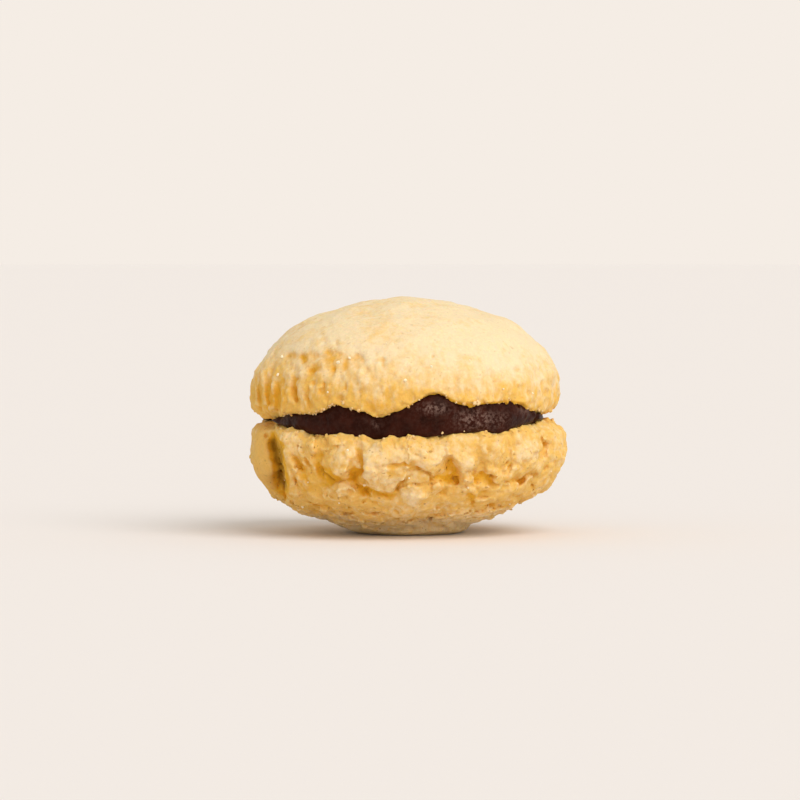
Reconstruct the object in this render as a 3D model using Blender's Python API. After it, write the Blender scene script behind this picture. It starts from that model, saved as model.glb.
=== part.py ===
"""Baci di dama: two small shortbread domes stuck together, face to face, by a layer of dark
chocolate. The smoother dome is on top, the craggy one stands on a small flat spot below.

Millimetres inside, metres in the scene. +Z is up, the side shown in the picture faces -Y.
Azimuths are in degrees from the front (-Y): positive to the right (+X), 180 at the back.
"""

import math

import bmesh
import bpy
import numpy as np

MM = 0.001

# ---------------------------------------------------------------- driving sizes, millimetres
GAP = 0.3  # clearance between the chocolate and each dome

TOP_RADIUS = 15.45  # widest radius of the upper dome
TOP_CENTRE = (-0.40, 0.0, 14.3)  # its axis, and the height where it is widest
TOP_RISE = 9.2  # from the widest place up to the crown
TOP_TUCK = 3.3  # how far the rim would tuck under, if it weren't cut by the seam
TOP_TUCK_POWER = 4.0  # squareness of that rim

BOTTOM_RADIUS = 15.90
BOTTOM_CENTRE = (-0.05, 0.0, 8.6)
BOTTOM_DROP = 9.0  # from the widest place down: the table cuts it at z = 0, a flat spot
BOTTOM_TUCK = 3.2
BOTTOM_TUCK_POWER = 5.0

CORE_RADIUS = 12.9  # the flat middle of the seam ends here, the rim begins
SEAM_TOP = 12.35  # height of the upper dome's face in the middle
SEAM_BOTTOM = 10.35  # height of the lower dome's face in the middle

SEGMENTS = 76  # around
CROWN_RINGS = 17  # from the pole to the widest place
RIM_RINGS = 4  # from there to the edge of the seam
CORE_STEPS = (0.0, 0.3, 0.6, 0.85, 1.0)  # rings of the seam's faces, as shares of CORE_RADIUS

# Waves of the seam's edges: azimuth, half width in degrees, height in mm.
TOP_EDGE = 11.95
TOP_EDGE_WAVES = (
    (0, 55, 0.85),
    (-31, 9, 0.62),
    (-11, 7, -0.85),
    (9.5, 8.5, 1.45),
    (41, 14, 1.0),
    (104, 12, 0.6),
    (131, 10, 1.1),
    (158, 13, 0.5),
    (-168, 10, 1.2),
    (-140, 12, 0.5),
    (-117, 10, 0.9),
)
BOTTOM_EDGE = 11.2
BOTTOM_EDGE_WAVES = (
    (-14, 38, -1.0),
    (37, 6, -0.35),
    (60, 11, 0.35),
    (-66, 9, 0.3),
    (112, 20, -0.6),
    (150, 14, -0.8),
    (179, 9, 0.1),
    (-153, 17, -0.7),
    (-118, 13, -0.35),
)

# The chocolate's outer edge: how far it is squeezed out.
FILLING_RADIUS = 14.75
FILLING_WAVES = (
    (10, 14, 0.50),
    (-33, 16, 0.30),
    (42, 12, 0.25),
    (-90, 16, -0.85),
    (84, 14, -0.85),
    (133, 14, 0.30),
    (-168, 14, 0.40),
    (-118, 12, 0.20),
)

# Named lumps (+) and hollows (-) of each dome: name, azimuth, height z, half width along
# the rim, half height, how far it stands out, turn in degrees.
TOP_FEATURES = (
    ("right_shoulder", 84, 20.7, 6.0, 3.0, 0.60, 0),
    ("left_slope", -75, 22.3, 3.5, 2.0, -0.55, 0),
    ("left_step", -80, 20.4, 2.2, 0.8, -0.35, 0),
    ("left_groove", -47, 14.9, 0.9, 1.6, -0.45, 8),
    ("left_pleat", -32, 14.1, 0.8, 1.1, -0.35, -6),
    ("brow_left", -36, 18.3, 5.0, 0.9, 0.22, 0),
    ("waist_left", -36, 16.7, 5.5, 0.9, -0.22, 0),
    ("cheek", 18, 16.4, 4.5, 2.6, 0.2, 0),
    ("back_dent", 150, 17.6, 3.6, 2.0, -0.4, 20),
    ("back_swell", -150, 18.5, 4.4, 2.4, 0.35, -15),
    ("side_groove", 112, 15.2, 0.9, 1.7, -0.45, 5),
)
BOTTOM_FEATURES = (
    ("split", -56, 7.0, 1.3, 3.1, -1.7, 6),
    ("split_lip", -47, 6.6, 1.5, 2.8, 0.35, 4),
    ("wedge_lump", -27, 8.0, 2.0, 1.9, 0.5, 0),
    ("valley", -33, 6.5, 0.9, 1.6, -0.45, 35),
    ("crevice", -20, 5.9, 0.8, 2.2, -1.0, 10),
    ("big_lump", -7, 6.8, 2.7, 2.2, 0.55, 0),
    ("under_lump", -9, 3.9, 2.3, 0.6, -0.75, 0),
    ("hollow_right", 16, 5.7, 1.1, 1.1, -0.95, 0),
    ("tongue", 22, 6.7, 1.2, 1.5, 0.4, 8),
    ("low_hollow", 30, 5.0, 1.1, 0.6, -0.5, 0),
    ("pits", 38, 6.5, 1.1, 0.6, -0.3, 0),
    ("right_ledge", 50, 4.7, 1.8, 0.5, -0.45, 10),
    ("rim_groove", 61, 7.6, 0.6, 1.4, -0.5, -5),
    ("rim_lobe", 75, 8.4, 2.2, 2.2, 0.3, 0),
    ("low_ledge", 0, 1.5, 5.0, 0.4, -0.3, 0),
    ("back_split", 142, 6.4, 1.1, 2.7, -1.3, -12),
    ("back_lump", 165, 7.4, 2.4, 2.2, 0.5, 0),
    ("back_under", 168, 4.2, 2.4, 0.6, -0.7, 5),
    ("back_crevice", -170, 6.2, 0.9, 2.3, -0.9, 18),
    ("back_plate", -150, 7.6, 2.6, 2.0, 0.5, 10),
    ("back_ledge", -148, 4.6, 2.4, 0.5, -0.6, -6),
    ("left_lump", -112, 7.6, 2.4, 2.0, 0.4, 0),
    ("left_crevice", -98, 6.0, 0.8, 2.0, -0.8, -14),
    ("left_hollow", -124, 5.0, 1.2, 0.9, -0.6, 0),
    ("right_crevice", 98, 6.4, 0.8, 2.1, -0.9, 10),
    ("right_plate", 112, 7.2, 2.4, 2.0, 0.45, 0),
    ("right_hollow", 121, 4.8, 1.4, 0.8, -0.65, 0),
)


# ---------------------------------------------------------------- shape functions
def around(azimuth, centre, width):
    """A smooth bump of 1 at one azimuth, all in degrees."""
    off = (azimuth - centre + 180.0) % 360.0 - 180.0
    return np.exp(-((off / width) ** 2))


def wave_sum(azimuth, base, waves):
    total = np.full_like(azimuth, base)
    for centre, width, height in waves:
        total = total + height * around(azimuth, centre, width)
    return total


def plan(azimuth, turn):
    """How far from round the dome is, seen from above: 1 at the left and right."""
    a = np.radians(azimuth)
    return 1.0 + np.cos(a) ** 2 * (
        -0.012 + 0.016 * np.cos(a + turn) + 0.012 * np.sin(3.0 * a + turn)
    )


def soft_noise(points, size, seed):
    """Smooth unevenness in -1..1: slanted waves of about one length, added up."""
    rng = np.random.RandomState(seed)
    total = np.zeros(len(points))
    for _ in range(7):
        way = rng.normal(size=3)
        way *= 2.0 * math.pi / (size * rng.uniform(0.75, 1.35)) / np.linalg.norm(way)
        total += np.sin(points @ way + rng.uniform(0.0, 2.0 * math.pi))
    return total / 3.2


def core_share(radius, edge_radius):
    """0 in the middle of the seam, 1 at its edge."""
    t = np.clip((radius - 7.0) / (edge_radius - 7.0), 0.0, 1.0)
    return t * t * (3.0 - 2.0 * t)


def on_dome(azimuth, height, centre, radius, reach, turn):
    """The point of the plain dome at an azimuth and a height, and its two tangents."""
    a = math.radians(azimuth)
    share = max(-0.999, min(0.999, (height - centre[2]) / reach))
    r = radius * math.sqrt(1.0 - share * share) * float(plan(np.array([azimuth]), turn)[0])
    out = np.array((math.sin(a), -math.cos(a), 0.0))
    point = np.array(centre) + out * r
    point[2] = height
    along = np.array((math.cos(a), math.sin(a), 0.0))
    normal = out * (r / radius**2) + np.array((0, 0, (height - centre[2]) / reach**2))
    normal /= np.linalg.norm(normal)
    return point, along, np.cross(normal, along), normal


def relief(points, features, centre, radius, reach, turn):
    """How far the lumps and hollows move each point of the dome outwards."""
    total = np.zeros(len(points))
    for _name, azimuth, height, wide, tall, out, tilt in features:
        spot, along, up, normal = on_dome(azimuth, height, centre, radius, reach, turn)
        c, s = math.cos(math.radians(tilt)), math.sin(math.radians(tilt))
        u = (points - spot) @ (along * c + up * s) / wide
        v = (points - spot) @ (up * c - along * s) / tall
        w = (points - spot) @ normal / 4.0
        total += out * np.exp(-((u * u + v * v + w * w) ** 1.4))
    return total


def dome_rings(top):
    """Rings of points from the pole to the seam's middle: an array (rings, around, 3)."""
    centre, radius = (TOP_CENTRE, TOP_RADIUS) if top else (BOTTOM_CENTRE, BOTTOM_RADIUS)
    reach = TOP_RISE if top else BOTTOM_DROP
    tuck = TOP_TUCK if top else BOTTOM_TUCK
    power = TOP_TUCK_POWER if top else BOTTOM_TUCK_POWER
    side = 1.0 if top else -1.0
    turn = 0.6 if top else 2.2
    azimuth = np.arange(SEGMENTS) * 360.0 / SEGMENTS
    a = np.radians(azimuth)
    out = np.stack([np.sin(a), -np.cos(a), np.zeros(SEGMENTS)], axis=1)
    flat = plan(azimuth, turn)
    edge_z = (
        wave_sum(azimuth, TOP_EDGE, TOP_EDGE_WAVES)
        if top
        else wave_sum(azimuth, BOTTOM_EDGE, BOTTOM_EDGE_WAVES)
    )
    rings = []
    for k in range(1, CROWN_RINGS + 1):
        polar = math.pi / 2 * k / CROWN_RINGS
        ring = np.array(centre) + out * (radius * math.sin(polar) * flat)[:, None]
        ring[:, 2] = centre[2] + side * reach * math.cos(polar)
        normal = out * (math.sin(polar) / radius) + np.array(
            (0.0, 0.0, side * math.cos(polar) / reach)
        )
        rings.append((ring, normal / np.linalg.norm(normal, axis=1)[:, None], 1.0))
    share_edge = np.clip(side * (centre[2] - edge_z) / tuck, 0.05, 0.97)
    for k in range(1, RIM_RINGS + 1):
        share = share_edge * k / RIM_RINGS
        r = radius * (1.0 - share**power) ** (1.0 / power) * flat
        ring = np.array(centre) + out * r[:, None]
        ring[:, 2] = centre[2] - side * tuck * share
        rings.append((ring, out.copy(), 1.0 - 0.8 * k / RIM_RINGS))
    shaped = []
    features = TOP_FEATURES if top else BOTTOM_FEATURES
    rough = 0.10 if top else 0.22
    for ring, normal, amount in rings:
        move = relief(ring, features, centre, radius, reach, turn)
        move += rough * soft_noise(ring, 6.5, 11 if top else 23)
        move += 0.5 * rough * soft_noise(ring, 3.2, 12 if top else 24)
        if not top:
            # The unevenness dies out towards the flat spot that the dome stands on.
            move *= np.clip((ring[:, 2] + 0.3) / 1.2, 0.0, 1.0)
        ring = ring + normal * (move * amount)[:, None]
        if not top:
            ring[:, 2] = np.maximum(ring[:, 2], 0.0)
        shaped.append(ring)
    edge = shaped[-1].copy()
    edge_radius = np.hypot(edge[:, 0] - centre[0], edge[:, 1] - centre[1])
    middle = SEAM_TOP if top else SEAM_BOTTOM
    for step in reversed(CORE_STEPS[1:]):
        r = np.full(SEGMENTS, CORE_RADIUS * step)
        share = core_share(r, edge_radius)
        ring = np.array((0.0, 0.0, 0.0)) + out * r[:, None]
        ring[:, 2] = middle + (edge[:, 2] - middle) * share
        shaped.append(ring)
    return np.array(shaped), middle, azimuth


def filling_rings(top_rings, bottom_rings):
    """The chocolate: its upper face out to the edge, the bulging side, and back below."""
    cores = len(CORE_STEPS) - 1
    azimuth = np.arange(SEGMENTS) * 360.0 / SEGMENTS
    a = np.radians(azimuth)
    out = np.stack([np.sin(a), -np.cos(a), np.zeros(SEGMENTS)], axis=1)
    reach = wave_sum(azimuth, FILLING_RADIUS, FILLING_WAVES)
    upper = [ring.copy() for ring in top_rings[-cores:][::-1]]
    lower = [ring.copy() for ring in bottom_rings[-cores:]]
    for ring in upper:
        ring[:, 2] -= GAP
    for ring in lower:
        ring[:, 2] += GAP
    high = upper[-1][:, 2]
    low = lower[0][:, 2]
    # The side follows each dome's face outwards, a gap away, and bulges between them.
    side = []
    for share, bulge in ((1.0, 0.55), (0.86, 0.90), (0.62, 1.0), (0.34, 0.98), (0.12, 0.86), (0.0, 0.5)):
        r = CORE_RADIUS + (reach - CORE_RADIUS) * bulge
        ring = out * r[:, None]
        upper_z, lower_z = (
            core_z + (edge[:, 2] + lift - core_z) * np.minimum((r - CORE_RADIUS) / (wide - CORE_RADIUS), 1.0)
            for core_z, edge, lift, wide in (
                (high, top_rings[-cores - 1], -GAP, np.hypot(*(top_rings[-cores - 1] - TOP_CENTRE)[:, :2].T)),
                (low, bottom_rings[-cores - 1], GAP, np.hypot(*(bottom_rings[-cores - 1] - BOTTOM_CENTRE)[:, :2].T)),
            )
        )
        ring[:, 2] = lower_z + (upper_z - lower_z) * share
        side.append(ring)
    return np.array(upper + side + lower)


# ---------------------------------------------------------------- meshes
def shell(name, rings, first_pole, last_pole, material):
    """A closed body from rings of points, with a pole at each end."""
    bm = bmesh.new()
    rows = [[bm.verts.new(p * MM) for p in ring] for ring in rings]
    start = bm.verts.new(first_pole * MM)
    finish = bm.verts.new(last_pole * MM)
    count = len(rows[0])
    for i in range(count):
        j = (i + 1) % count
        bm.faces.new((start, rows[0][i], rows[0][j]))
        bm.faces.new((finish, rows[-1][j], rows[-1][i]))
        for inner, outer in zip(rows, rows[1:]):
            bm.faces.new((inner[i], outer[i], outer[j], inner[j]))
    bmesh.ops.recalc_face_normals(bm, faces=bm.faces)
    bmesh.ops.triangulate(bm, faces=bm.faces, quad_method="SHORT_EDGE")
    mesh = bpy.data.meshes.new(name)
    bm.to_mesh(mesh)
    bm.free()
    mesh.materials.append(material)
    mesh.shade_smooth()
    mesh.set_sharp_from_angle(angle=math.radians(50.0))
    obj = bpy.data.objects.new(name, mesh)
    bpy.context.scene.collection.objects.link(obj)
    return obj


def principled(name, colour, roughness):
    material = bpy.data.materials.new(name)
    material.use_nodes = True
    shader = material.node_tree.nodes["Principled BSDF"]
    shader.inputs["Base Color"].default_value = (*colour, 1.0)
    shader.inputs["Roughness"].default_value = roughness
    shader.inputs["Metallic"].default_value = 0.0
    material.diffuse_color = (*colour, 1.0)
    return material


def main():
    for obj in list(bpy.data.objects):
        bpy.data.objects.remove(obj, do_unlink=True)

    golden = principled("shortbread_smooth", (0.80, 0.56, 0.27), 0.75)
    toasted = principled("shortbread_craggy", (0.76, 0.50, 0.22), 0.8)
    chocolate = principled("dark_chocolate", (0.045, 0.018, 0.012), 0.35)

    top, top_middle, _ = dome_rings(True)
    bottom, bottom_middle, _ = dome_rings(False)
    filling = filling_rings(top, bottom)

    crown = np.array((TOP_CENTRE[0], TOP_CENTRE[1], TOP_CENTRE[2] + TOP_RISE))
    foot = np.array((BOTTOM_CENTRE[0], BOTTOM_CENTRE[1], 0.0))
    shell("top_biscuit", top, crown, np.array((0.0, 0.0, top_middle)), golden)
    shell("bottom_biscuit", bottom, foot, np.array((0.0, 0.0, bottom_middle)), toasted)
    shell(
        "filling",
        filling,
        np.array((0.0, 0.0, top_middle - GAP)),
        np.array((0.0, 0.0, bottom_middle + GAP)),
        chocolate,
    )


main()
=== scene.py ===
"""The looks of a baci di dama cookie: two shortbread domes and the dark chocolate between
them, sculpted as signed distance fields on fine grids and meshed, plus sugar crystals and
crumbs. Millimetres inside the shape functions, metres in the scene.

Azimuths are in degrees from the front (-Y): positive to the right (+X), 180 at the back.
"""

import math

import bmesh
import bpy
import numpy as np
import openvdb
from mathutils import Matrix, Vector


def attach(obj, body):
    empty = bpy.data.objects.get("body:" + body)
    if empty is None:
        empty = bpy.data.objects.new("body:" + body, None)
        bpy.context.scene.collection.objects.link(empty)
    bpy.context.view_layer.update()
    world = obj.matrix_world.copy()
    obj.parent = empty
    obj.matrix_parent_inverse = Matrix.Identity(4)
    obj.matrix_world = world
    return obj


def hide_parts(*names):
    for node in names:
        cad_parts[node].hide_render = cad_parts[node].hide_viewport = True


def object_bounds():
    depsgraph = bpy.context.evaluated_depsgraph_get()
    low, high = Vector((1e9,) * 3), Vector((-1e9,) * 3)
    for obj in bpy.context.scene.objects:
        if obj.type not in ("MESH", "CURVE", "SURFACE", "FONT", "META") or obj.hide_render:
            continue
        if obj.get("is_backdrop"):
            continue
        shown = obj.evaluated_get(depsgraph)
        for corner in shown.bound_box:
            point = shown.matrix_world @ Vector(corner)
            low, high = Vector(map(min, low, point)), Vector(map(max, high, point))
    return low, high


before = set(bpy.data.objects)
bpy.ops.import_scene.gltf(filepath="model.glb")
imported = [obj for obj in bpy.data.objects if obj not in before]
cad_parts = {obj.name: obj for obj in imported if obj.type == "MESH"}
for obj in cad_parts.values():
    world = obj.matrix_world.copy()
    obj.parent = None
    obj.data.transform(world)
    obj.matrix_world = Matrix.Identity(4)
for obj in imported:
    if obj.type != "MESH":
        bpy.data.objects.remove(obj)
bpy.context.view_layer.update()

MM = 0.001
VOXEL = 0.132  # fineness of the sculpted surfaces, mm

# ---------------------------------------------------------------- sizes, as in the CAD model
TOP = dict(
    radius=15.45, centre=(-0.40, 0.0, 14.3), reach=9.2, tuck=3.3, power=4.0, turn=0.6, side=1.0
)
BOTTOM = dict(
    radius=15.90, centre=(-0.05, 0.0, 8.6), reach=9.0, tuck=3.2, power=5.0, turn=2.2, side=-1.0
)
SEAM_TOP, SEAM_BOTTOM = 12.35, 10.35

TOP_EDGE = 11.95
TOP_EDGE_WAVES = (
    (0, 55, 0.85),
    (-27.8, 5.6, 0.70),
    (-38, 5, -0.35),
    (-84, 17, -0.40),
    (-11, 7, -0.85),
    (9.5, 8.5, 1.45),
    (25, 6, 0.27),
    (41, 14, 1.0),
    (104, 12, 0.6),
    (131, 10, 1.1),
    (158, 13, 0.5),
    (-168, 10, 1.2),
    (-140, 12, 0.5),
    (-117, 10, 0.9),
    (-72, 22, -0.78),
    (84, 16, -0.62),
)
BOTTOM_EDGE = 11.2
BOTTOM_EDGE_WAVES = (
    (-14, 38, -1.0),
    (37, 6, -0.35),
    (60, 11, 0.35),
    (-66, 9, 0.3),
    (112, 20, -0.6),
    (150, 14, -0.8),
    (179, 9, 0.1),
    (-153, 17, -0.7),
    (-118, 13, -0.35),
    (-80, 18, 0.55),
    (84, 15, 0.55),
)
FILLING_RADIUS = 14.75
FILLING_WAVES = (
    (10, 14, 0.45),
    (-33, 16, 0.25),
    (42, 12, 0.20),
    (-90, 18, -0.25),
    (92, 30, -2.0),
    (133, 14, 0.30),
    (-168, 14, 0.40),
    (-118, 12, 0.20),
)

# ---------------------------------------------------------------- the photographer's view
AIM = (-0.9, 0.0, 13.25)
DISTANCE = 444.4
ELEVATION = 2.0
TILT = math.tan(math.radians(ELEVATION))


def front_view(x, y, z):
    """Where points show from the front: mm in the upright plane through the middle."""
    k = DISTANCE / (DISTANCE + y)
    return (x - AIM[0]) * k + AIM[0], (z + y * TILT - AIM[2]) * k + AIM[2]


# ---------------------------------------------------------------- fields on a grid
class Field:
    """A box of samples: signed distance in d (negative inside), and its coordinates."""

    def __init__(self, low, high, step):
        self.low = np.array(low, np.float32)
        self.step = step
        self.shape = tuple(int(math.ceil((b - a) / step)) + 1 for a, b in zip(low, high))
        self.axes = [
            (self.low[i] + step * np.arange(self.shape[i])).astype(np.float32) for i in range(3)
        ]
        self.x = self.axes[0][:, None, None]
        self.y = self.axes[1][None, :, None]
        self.z = self.axes[2][None, None, :]
        self.d = None

    def band(self, values, reach):
        """The samples where values are within reach of zero, and their coordinates."""
        chosen = np.nonzero(np.abs(values) < reach)
        return chosen, [self.axes[i][chosen[i]] for i in range(3)]

    def noise(self, cell, seed):
        """Smooth random values of unit spread, cell (mm) apart, over the whole grid."""
        cells = (cell,) * 3 if np.isscalar(cell) else cell
        rng = np.random.RandomState(seed)
        rows = []
        for i in range(3):
            t = np.arange(self.shape[i]) * self.step / cells[i] + rng.uniform(0, 1)
            k = np.floor(t).astype(int)
            f = t - k
            w = np.zeros((self.shape[i], k.max() + 4), np.float32)
            n = np.arange(self.shape[i])
            w[n, k] = (1 - f) ** 3 / 6
            w[n, k + 1] = (3 * f**3 - 6 * f**2 + 4) / 6
            w[n, k + 2] = (-3 * f**3 + 3 * f**2 + 3 * f + 1) / 6
            w[n, k + 3] = f**3 / 6
            rows.append(w)
        values = rng.standard_normal([w.shape[1] for w in rows]).astype(np.float32)
        values = values @ rows[2].T
        values = np.einsum("yb,abz->ayz", rows[1], values, optimize=True)
        values = np.tensordot(rows[0], values, axes=(1, 0))
        return values / 0.3315

    def even_out(self):
        """Makes d a true distance again near the surface, where relief has steepened it."""
        slope = np.gradient(self.d, self.step)
        size = np.sqrt(slope[0] ** 2 + slope[1] ** 2 + slope[2] ** 2)
        self.d = (self.d / np.maximum(size, 0.6)).astype(np.float32)


def around(azimuth, centre, width):
    off = (azimuth - centre + 180.0) % 360.0 - 180.0
    return np.exp(-((off / width) ** 2))


def wave_sum(azimuth, base, waves):
    total = np.full_like(azimuth, base)
    for centre, width, height in waves:
        total = total + height * around(azimuth, centre, width)
    return total


def plan(azimuth, turn):
    a = np.radians(azimuth)
    return 1.0 + np.cos(a) ** 2 * (
        -0.012 + 0.016 * np.cos(a + turn) + 0.012 * np.sin(3.0 * a + turn)
    )


def soft_noise(x, y, z, size, seed):
    """The CAD model's smooth unevenness: slanted waves of about one length, added up."""
    rng = np.random.RandomState(seed)
    total = 0.0
    for _ in range(7):
        way = rng.normal(size=3)
        way *= 2.0 * math.pi / (size * rng.uniform(0.75, 1.35)) / np.linalg.norm(way)
        phase = rng.uniform(0.0, 2.0 * math.pi)
        total = total + np.sin(x * way[0] + y * way[1] + z * way[2] + phase)
    return total / 3.2


def smooth_step(value, low, high):
    t = np.clip((value - low) / (high - low), 0.0, 1.0)
    return t * t * (3.0 - 2.0 * t)


def smooth_max(a, b, k):
    """The larger of two distances, with the corner between them rounded over about k."""
    h = np.maximum(k - np.abs(a - b), 0.0) / k
    return np.maximum(a, b) + h * h * k * 0.25


def core_share(radius, edge_radius):
    t = np.clip((radius - 7.0) / (edge_radius - 7.0), 0.0, 1.0)
    return t * t * (3.0 - 2.0 * t)


def edge_heights(azimuth, top):
    return (
        wave_sum(azimuth, TOP_EDGE, TOP_EDGE_WAVES)
        if top
        else wave_sum(azimuth, BOTTOM_EDGE, BOTTOM_EDGE_WAVES)
    )


def seam_height(x, y, top):
    """Height of a dome's face against the chocolate, over the plan."""
    azimuth = np.degrees(np.arctan2(x, -y))
    radius = np.hypot(x, y)
    middle = SEAM_TOP if top else SEAM_BOTTOM
    return middle + (edge_heights(azimuth, top) - middle) * core_share(radius, 15.1)


def dome_base(dome, x, y, z):
    """Distance to the plain dome, without its seam."""
    cx, cy, cz = dome["centre"]
    azimuth = np.degrees(np.arctan2(x - cx, -(y - cy)))
    across = np.hypot(x - cx, y - cy)
    flat = plan(azimuth, dome["turn"])
    r = across / (dome["radius"] * flat)
    up = (z - cz) * dome["side"]
    crown = np.sqrt(r * r + np.square(np.maximum(up, 0.0) / dome["reach"]))
    p = dome["power"]
    rim = (r**p + (np.maximum(-up, 0.0) / dome["tuck"]) ** p) ** (1.0 / p)
    q = np.where(up > 0, crown, rim)
    far = np.sqrt(across * across + np.square(z - cz))
    q = np.maximum(q, 1e-3)
    radial = far * (1.0 - 1.0 / q)
    # Turn the distance along the ray into the distance to the surface.
    slope = (across / dome["radius"] ** 2, np.where(up > 0, up / dome["reach"] ** 2, 0.0))
    cosine = (across * slope[0] + np.abs(up) * slope[1]) / (
        np.hypot(slope[0], slope[1]) * np.maximum(far, 1e-3) + 1e-9
    )
    return (radial * np.where(up > 0, cosine, 1.0)).astype(np.float32)


JITTER = np.random.RandomState(5).uniform(0.08, 0.92, (32, 32, 32, 4)).astype(np.float32)


def cells(points, size):
    """Distances to the nearest and second nearest of points scattered size apart, in units
    of size, and a random number that each nearest one owns."""
    g = points / np.float32(size)
    base = np.floor(g).astype(np.int32)
    f = g - base
    first = np.full(len(points), 9.0, np.float32)
    second = np.full(len(points), 9.0, np.float32)
    owner = np.zeros(len(points), np.float32)
    for i in (-1, 0, 1):
        for j in (-1, 0, 1):
            for k in (-1, 0, 1):
                seed = JITTER[
                    (base[:, 0] + i) & 31, (base[:, 1] + j) & 31, (base[:, 2] + k) & 31
                ]
                d = (
                    (seed[:, 0] + i - f[:, 0]) ** 2
                    + (seed[:, 1] + j - f[:, 1]) ** 2
                    + (seed[:, 2] + k - f[:, 2]) ** 2
                )
                near = d < first
                second = np.where(near, first, np.minimum(second, d))
                owner = np.where(near, seed[:, 3], owner)
                first = np.where(near, d, first)
    return np.sqrt(first), np.sqrt(second), owner


# ---------------------------------------------------------------- relief drawn in a view
def inside(p, q, outline):
    """Distance inside a closed outline, negative outside it."""
    best = np.full(p.shape, 1e6, np.float32)
    odd = np.zeros(p.shape, bool)
    for (ax, ay), (bx, by) in zip(outline, outline[1:] + outline[:1]):
        ex, ey = bx - ax, by - ay
        wx, wy = p - ax, q - ay
        t = np.clip((wx * ex + wy * ey) / (ex * ex + ey * ey), 0.0, 1.0)
        best = np.minimum(best, (wx - ex * t) ** 2 + (wy - ey * t) ** 2)
        if ay != by:
            odd ^= ((ay > q) != (by > q)) & (p < ex * (q - ay) / ey + ax)
    return np.where(odd, 1.0, -1.0) * np.sqrt(best)


class Relief:
    """Heights (mm) added to a dome, and its browning with the painted shade of its hollows, drawn
    in a view of it: p to the right, q up. Below zero that value is paler, mostly painted light."""

    def __init__(self, p, q, lift):
        self.p, self.q = p.astype(np.float32), q.astype(np.float32)
        self.lift = lift  # how much higher plates rise than their stated height
        self.h = np.zeros_like(self.p)
        self.drawn_browning_and_shading = np.zeros_like(self.p)

    def near(self, places, margin):
        low, high = np.min(places, axis=0) - margin, np.max(places, axis=0) + margin
        return np.nonzero(
            (self.p > low[0]) & (self.p < high[0]) & (self.q > low[1]) & (self.q < high[1])
        )[0]

    def plate(self, outline, height, soft=0.12, crown=0.15, fade=None):
        """Raises an outline: a step at its edge, crown of the height rounding over inside.
        fade runs from the place where nothing is raised to where all of it is."""
        some = self.near(np.array(outline), soft + 0.1)
        p, q = self.p[some], self.q[some]
        d = inside(p, q, list(outline))
        rise = (1.0 - crown) * smooth_step(d, -soft, soft)
        rise += crown * (1.0 - np.exp(-np.maximum(d, 0.0) / 0.8))
        if fade:
            (ax, ay), (bx, by) = fade
            way = ((p - ax) * (bx - ax) + (q - ay) * (by - ay)) / ((bx - ax) ** 2 + (by - ay) ** 2)
            rise *= smooth_step(way, 0.0, 1.0)
        self.h[some] += height * (self.lift if height > 0 else 1.0) * rise
        # A sunk plate is browned with painted shade.
        if height < 0:
            self.drawn_browning_and_shading[some] -= 0.9 * height * rise

    def trench(self, path, depth, left, right, curve=1.3, tone=0.75):
        """Cuts along a path of (p, q) or (p, q, share). left and right say how wide the walls
        are on either hand on the way along it: a narrow one is a cliff. tone browns it with painted
        shade."""
        path = [tuple(place) + (1.0,) * (3 - len(place)) for place in path]
        some = self.near(np.array(path)[:, :2], max(left, right) + 0.05)
        p, q = self.p[some], self.q[some]
        cut = np.zeros_like(p)
        for (ax, ay, sa), (bx, by, sb) in zip(path, path[1:]):
            ex, ey = bx - ax, by - ay
            wx, wy = p - ax, q - ay
            t = np.clip((wx * ex + wy * ey) / (ex * ex + ey * ey), 0.0, 1.0)
            far = np.hypot(wx - ex * t, wy - ey * t)
            share = sa + (sb - sa) * t
            wide = np.where(ex * wy - ey * wx > 0, left, right) * share
            cut = np.maximum(cut, share * np.clip(1.0 - far / wide, 0.0, 1.0) ** curve)
        self.h[some] -= depth * cut
        # Painted shade browns the cut.
        self.drawn_browning_and_shading[some] += tone * min(depth, 1.2) * cut**0.7

    def dent(self, place, size, depth, turn=0.0):
        """A rounded hollow, or a rise when depth is negative."""
        size = (size, size) if np.isscalar(size) else size
        some = self.near(np.array([place]), max(size))
        c, s = math.cos(math.radians(turn)), math.sin(math.radians(turn))
        p, q = self.p[some] - place[0], self.q[some] - place[1]
        r = ((p * c + q * s) / size[0]) ** 2 + ((q * c - p * s) / size[1]) ** 2
        shape = np.clip(1.0 - r, 0.0, 1.0) ** 1.5
        self.h[some] -= depth * shape
        # Painted shade browns the hollow.
        self.drawn_browning_and_shading[some] += max(depth, 0.0) * shape

    def browning_and_shading_patch(self, place, size, amount, turn=0.0):
        """Browner (or paler, below zero) in a soft patch: browning, painted shade in hollows and
        painted light on lit faces.
        """
        c, s = math.cos(math.radians(turn)), math.sin(math.radians(turn))
        p, q = self.p - place[0], self.q - place[1]
        r = ((p * c + q * s) / size[0]) ** 2 + ((q * c - p * s) / size[1]) ** 2
        self.drawn_browning_and_shading += amount * np.exp(-r)


# The views that the relief is drawn in: azimuth, mirrored, stretch, share of the bending, and
# how squarely a point has to face each one for none and for all of its relief.
VIEWS = (
    (0.0, False, 1.0, 1.0, 0.04, 0.22),
    (128.0, True, 1.08, 2.2, 0.32, 0.62),
    (-122.0, False, 0.93, 2.6, 0.34, 0.64),
)


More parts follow.
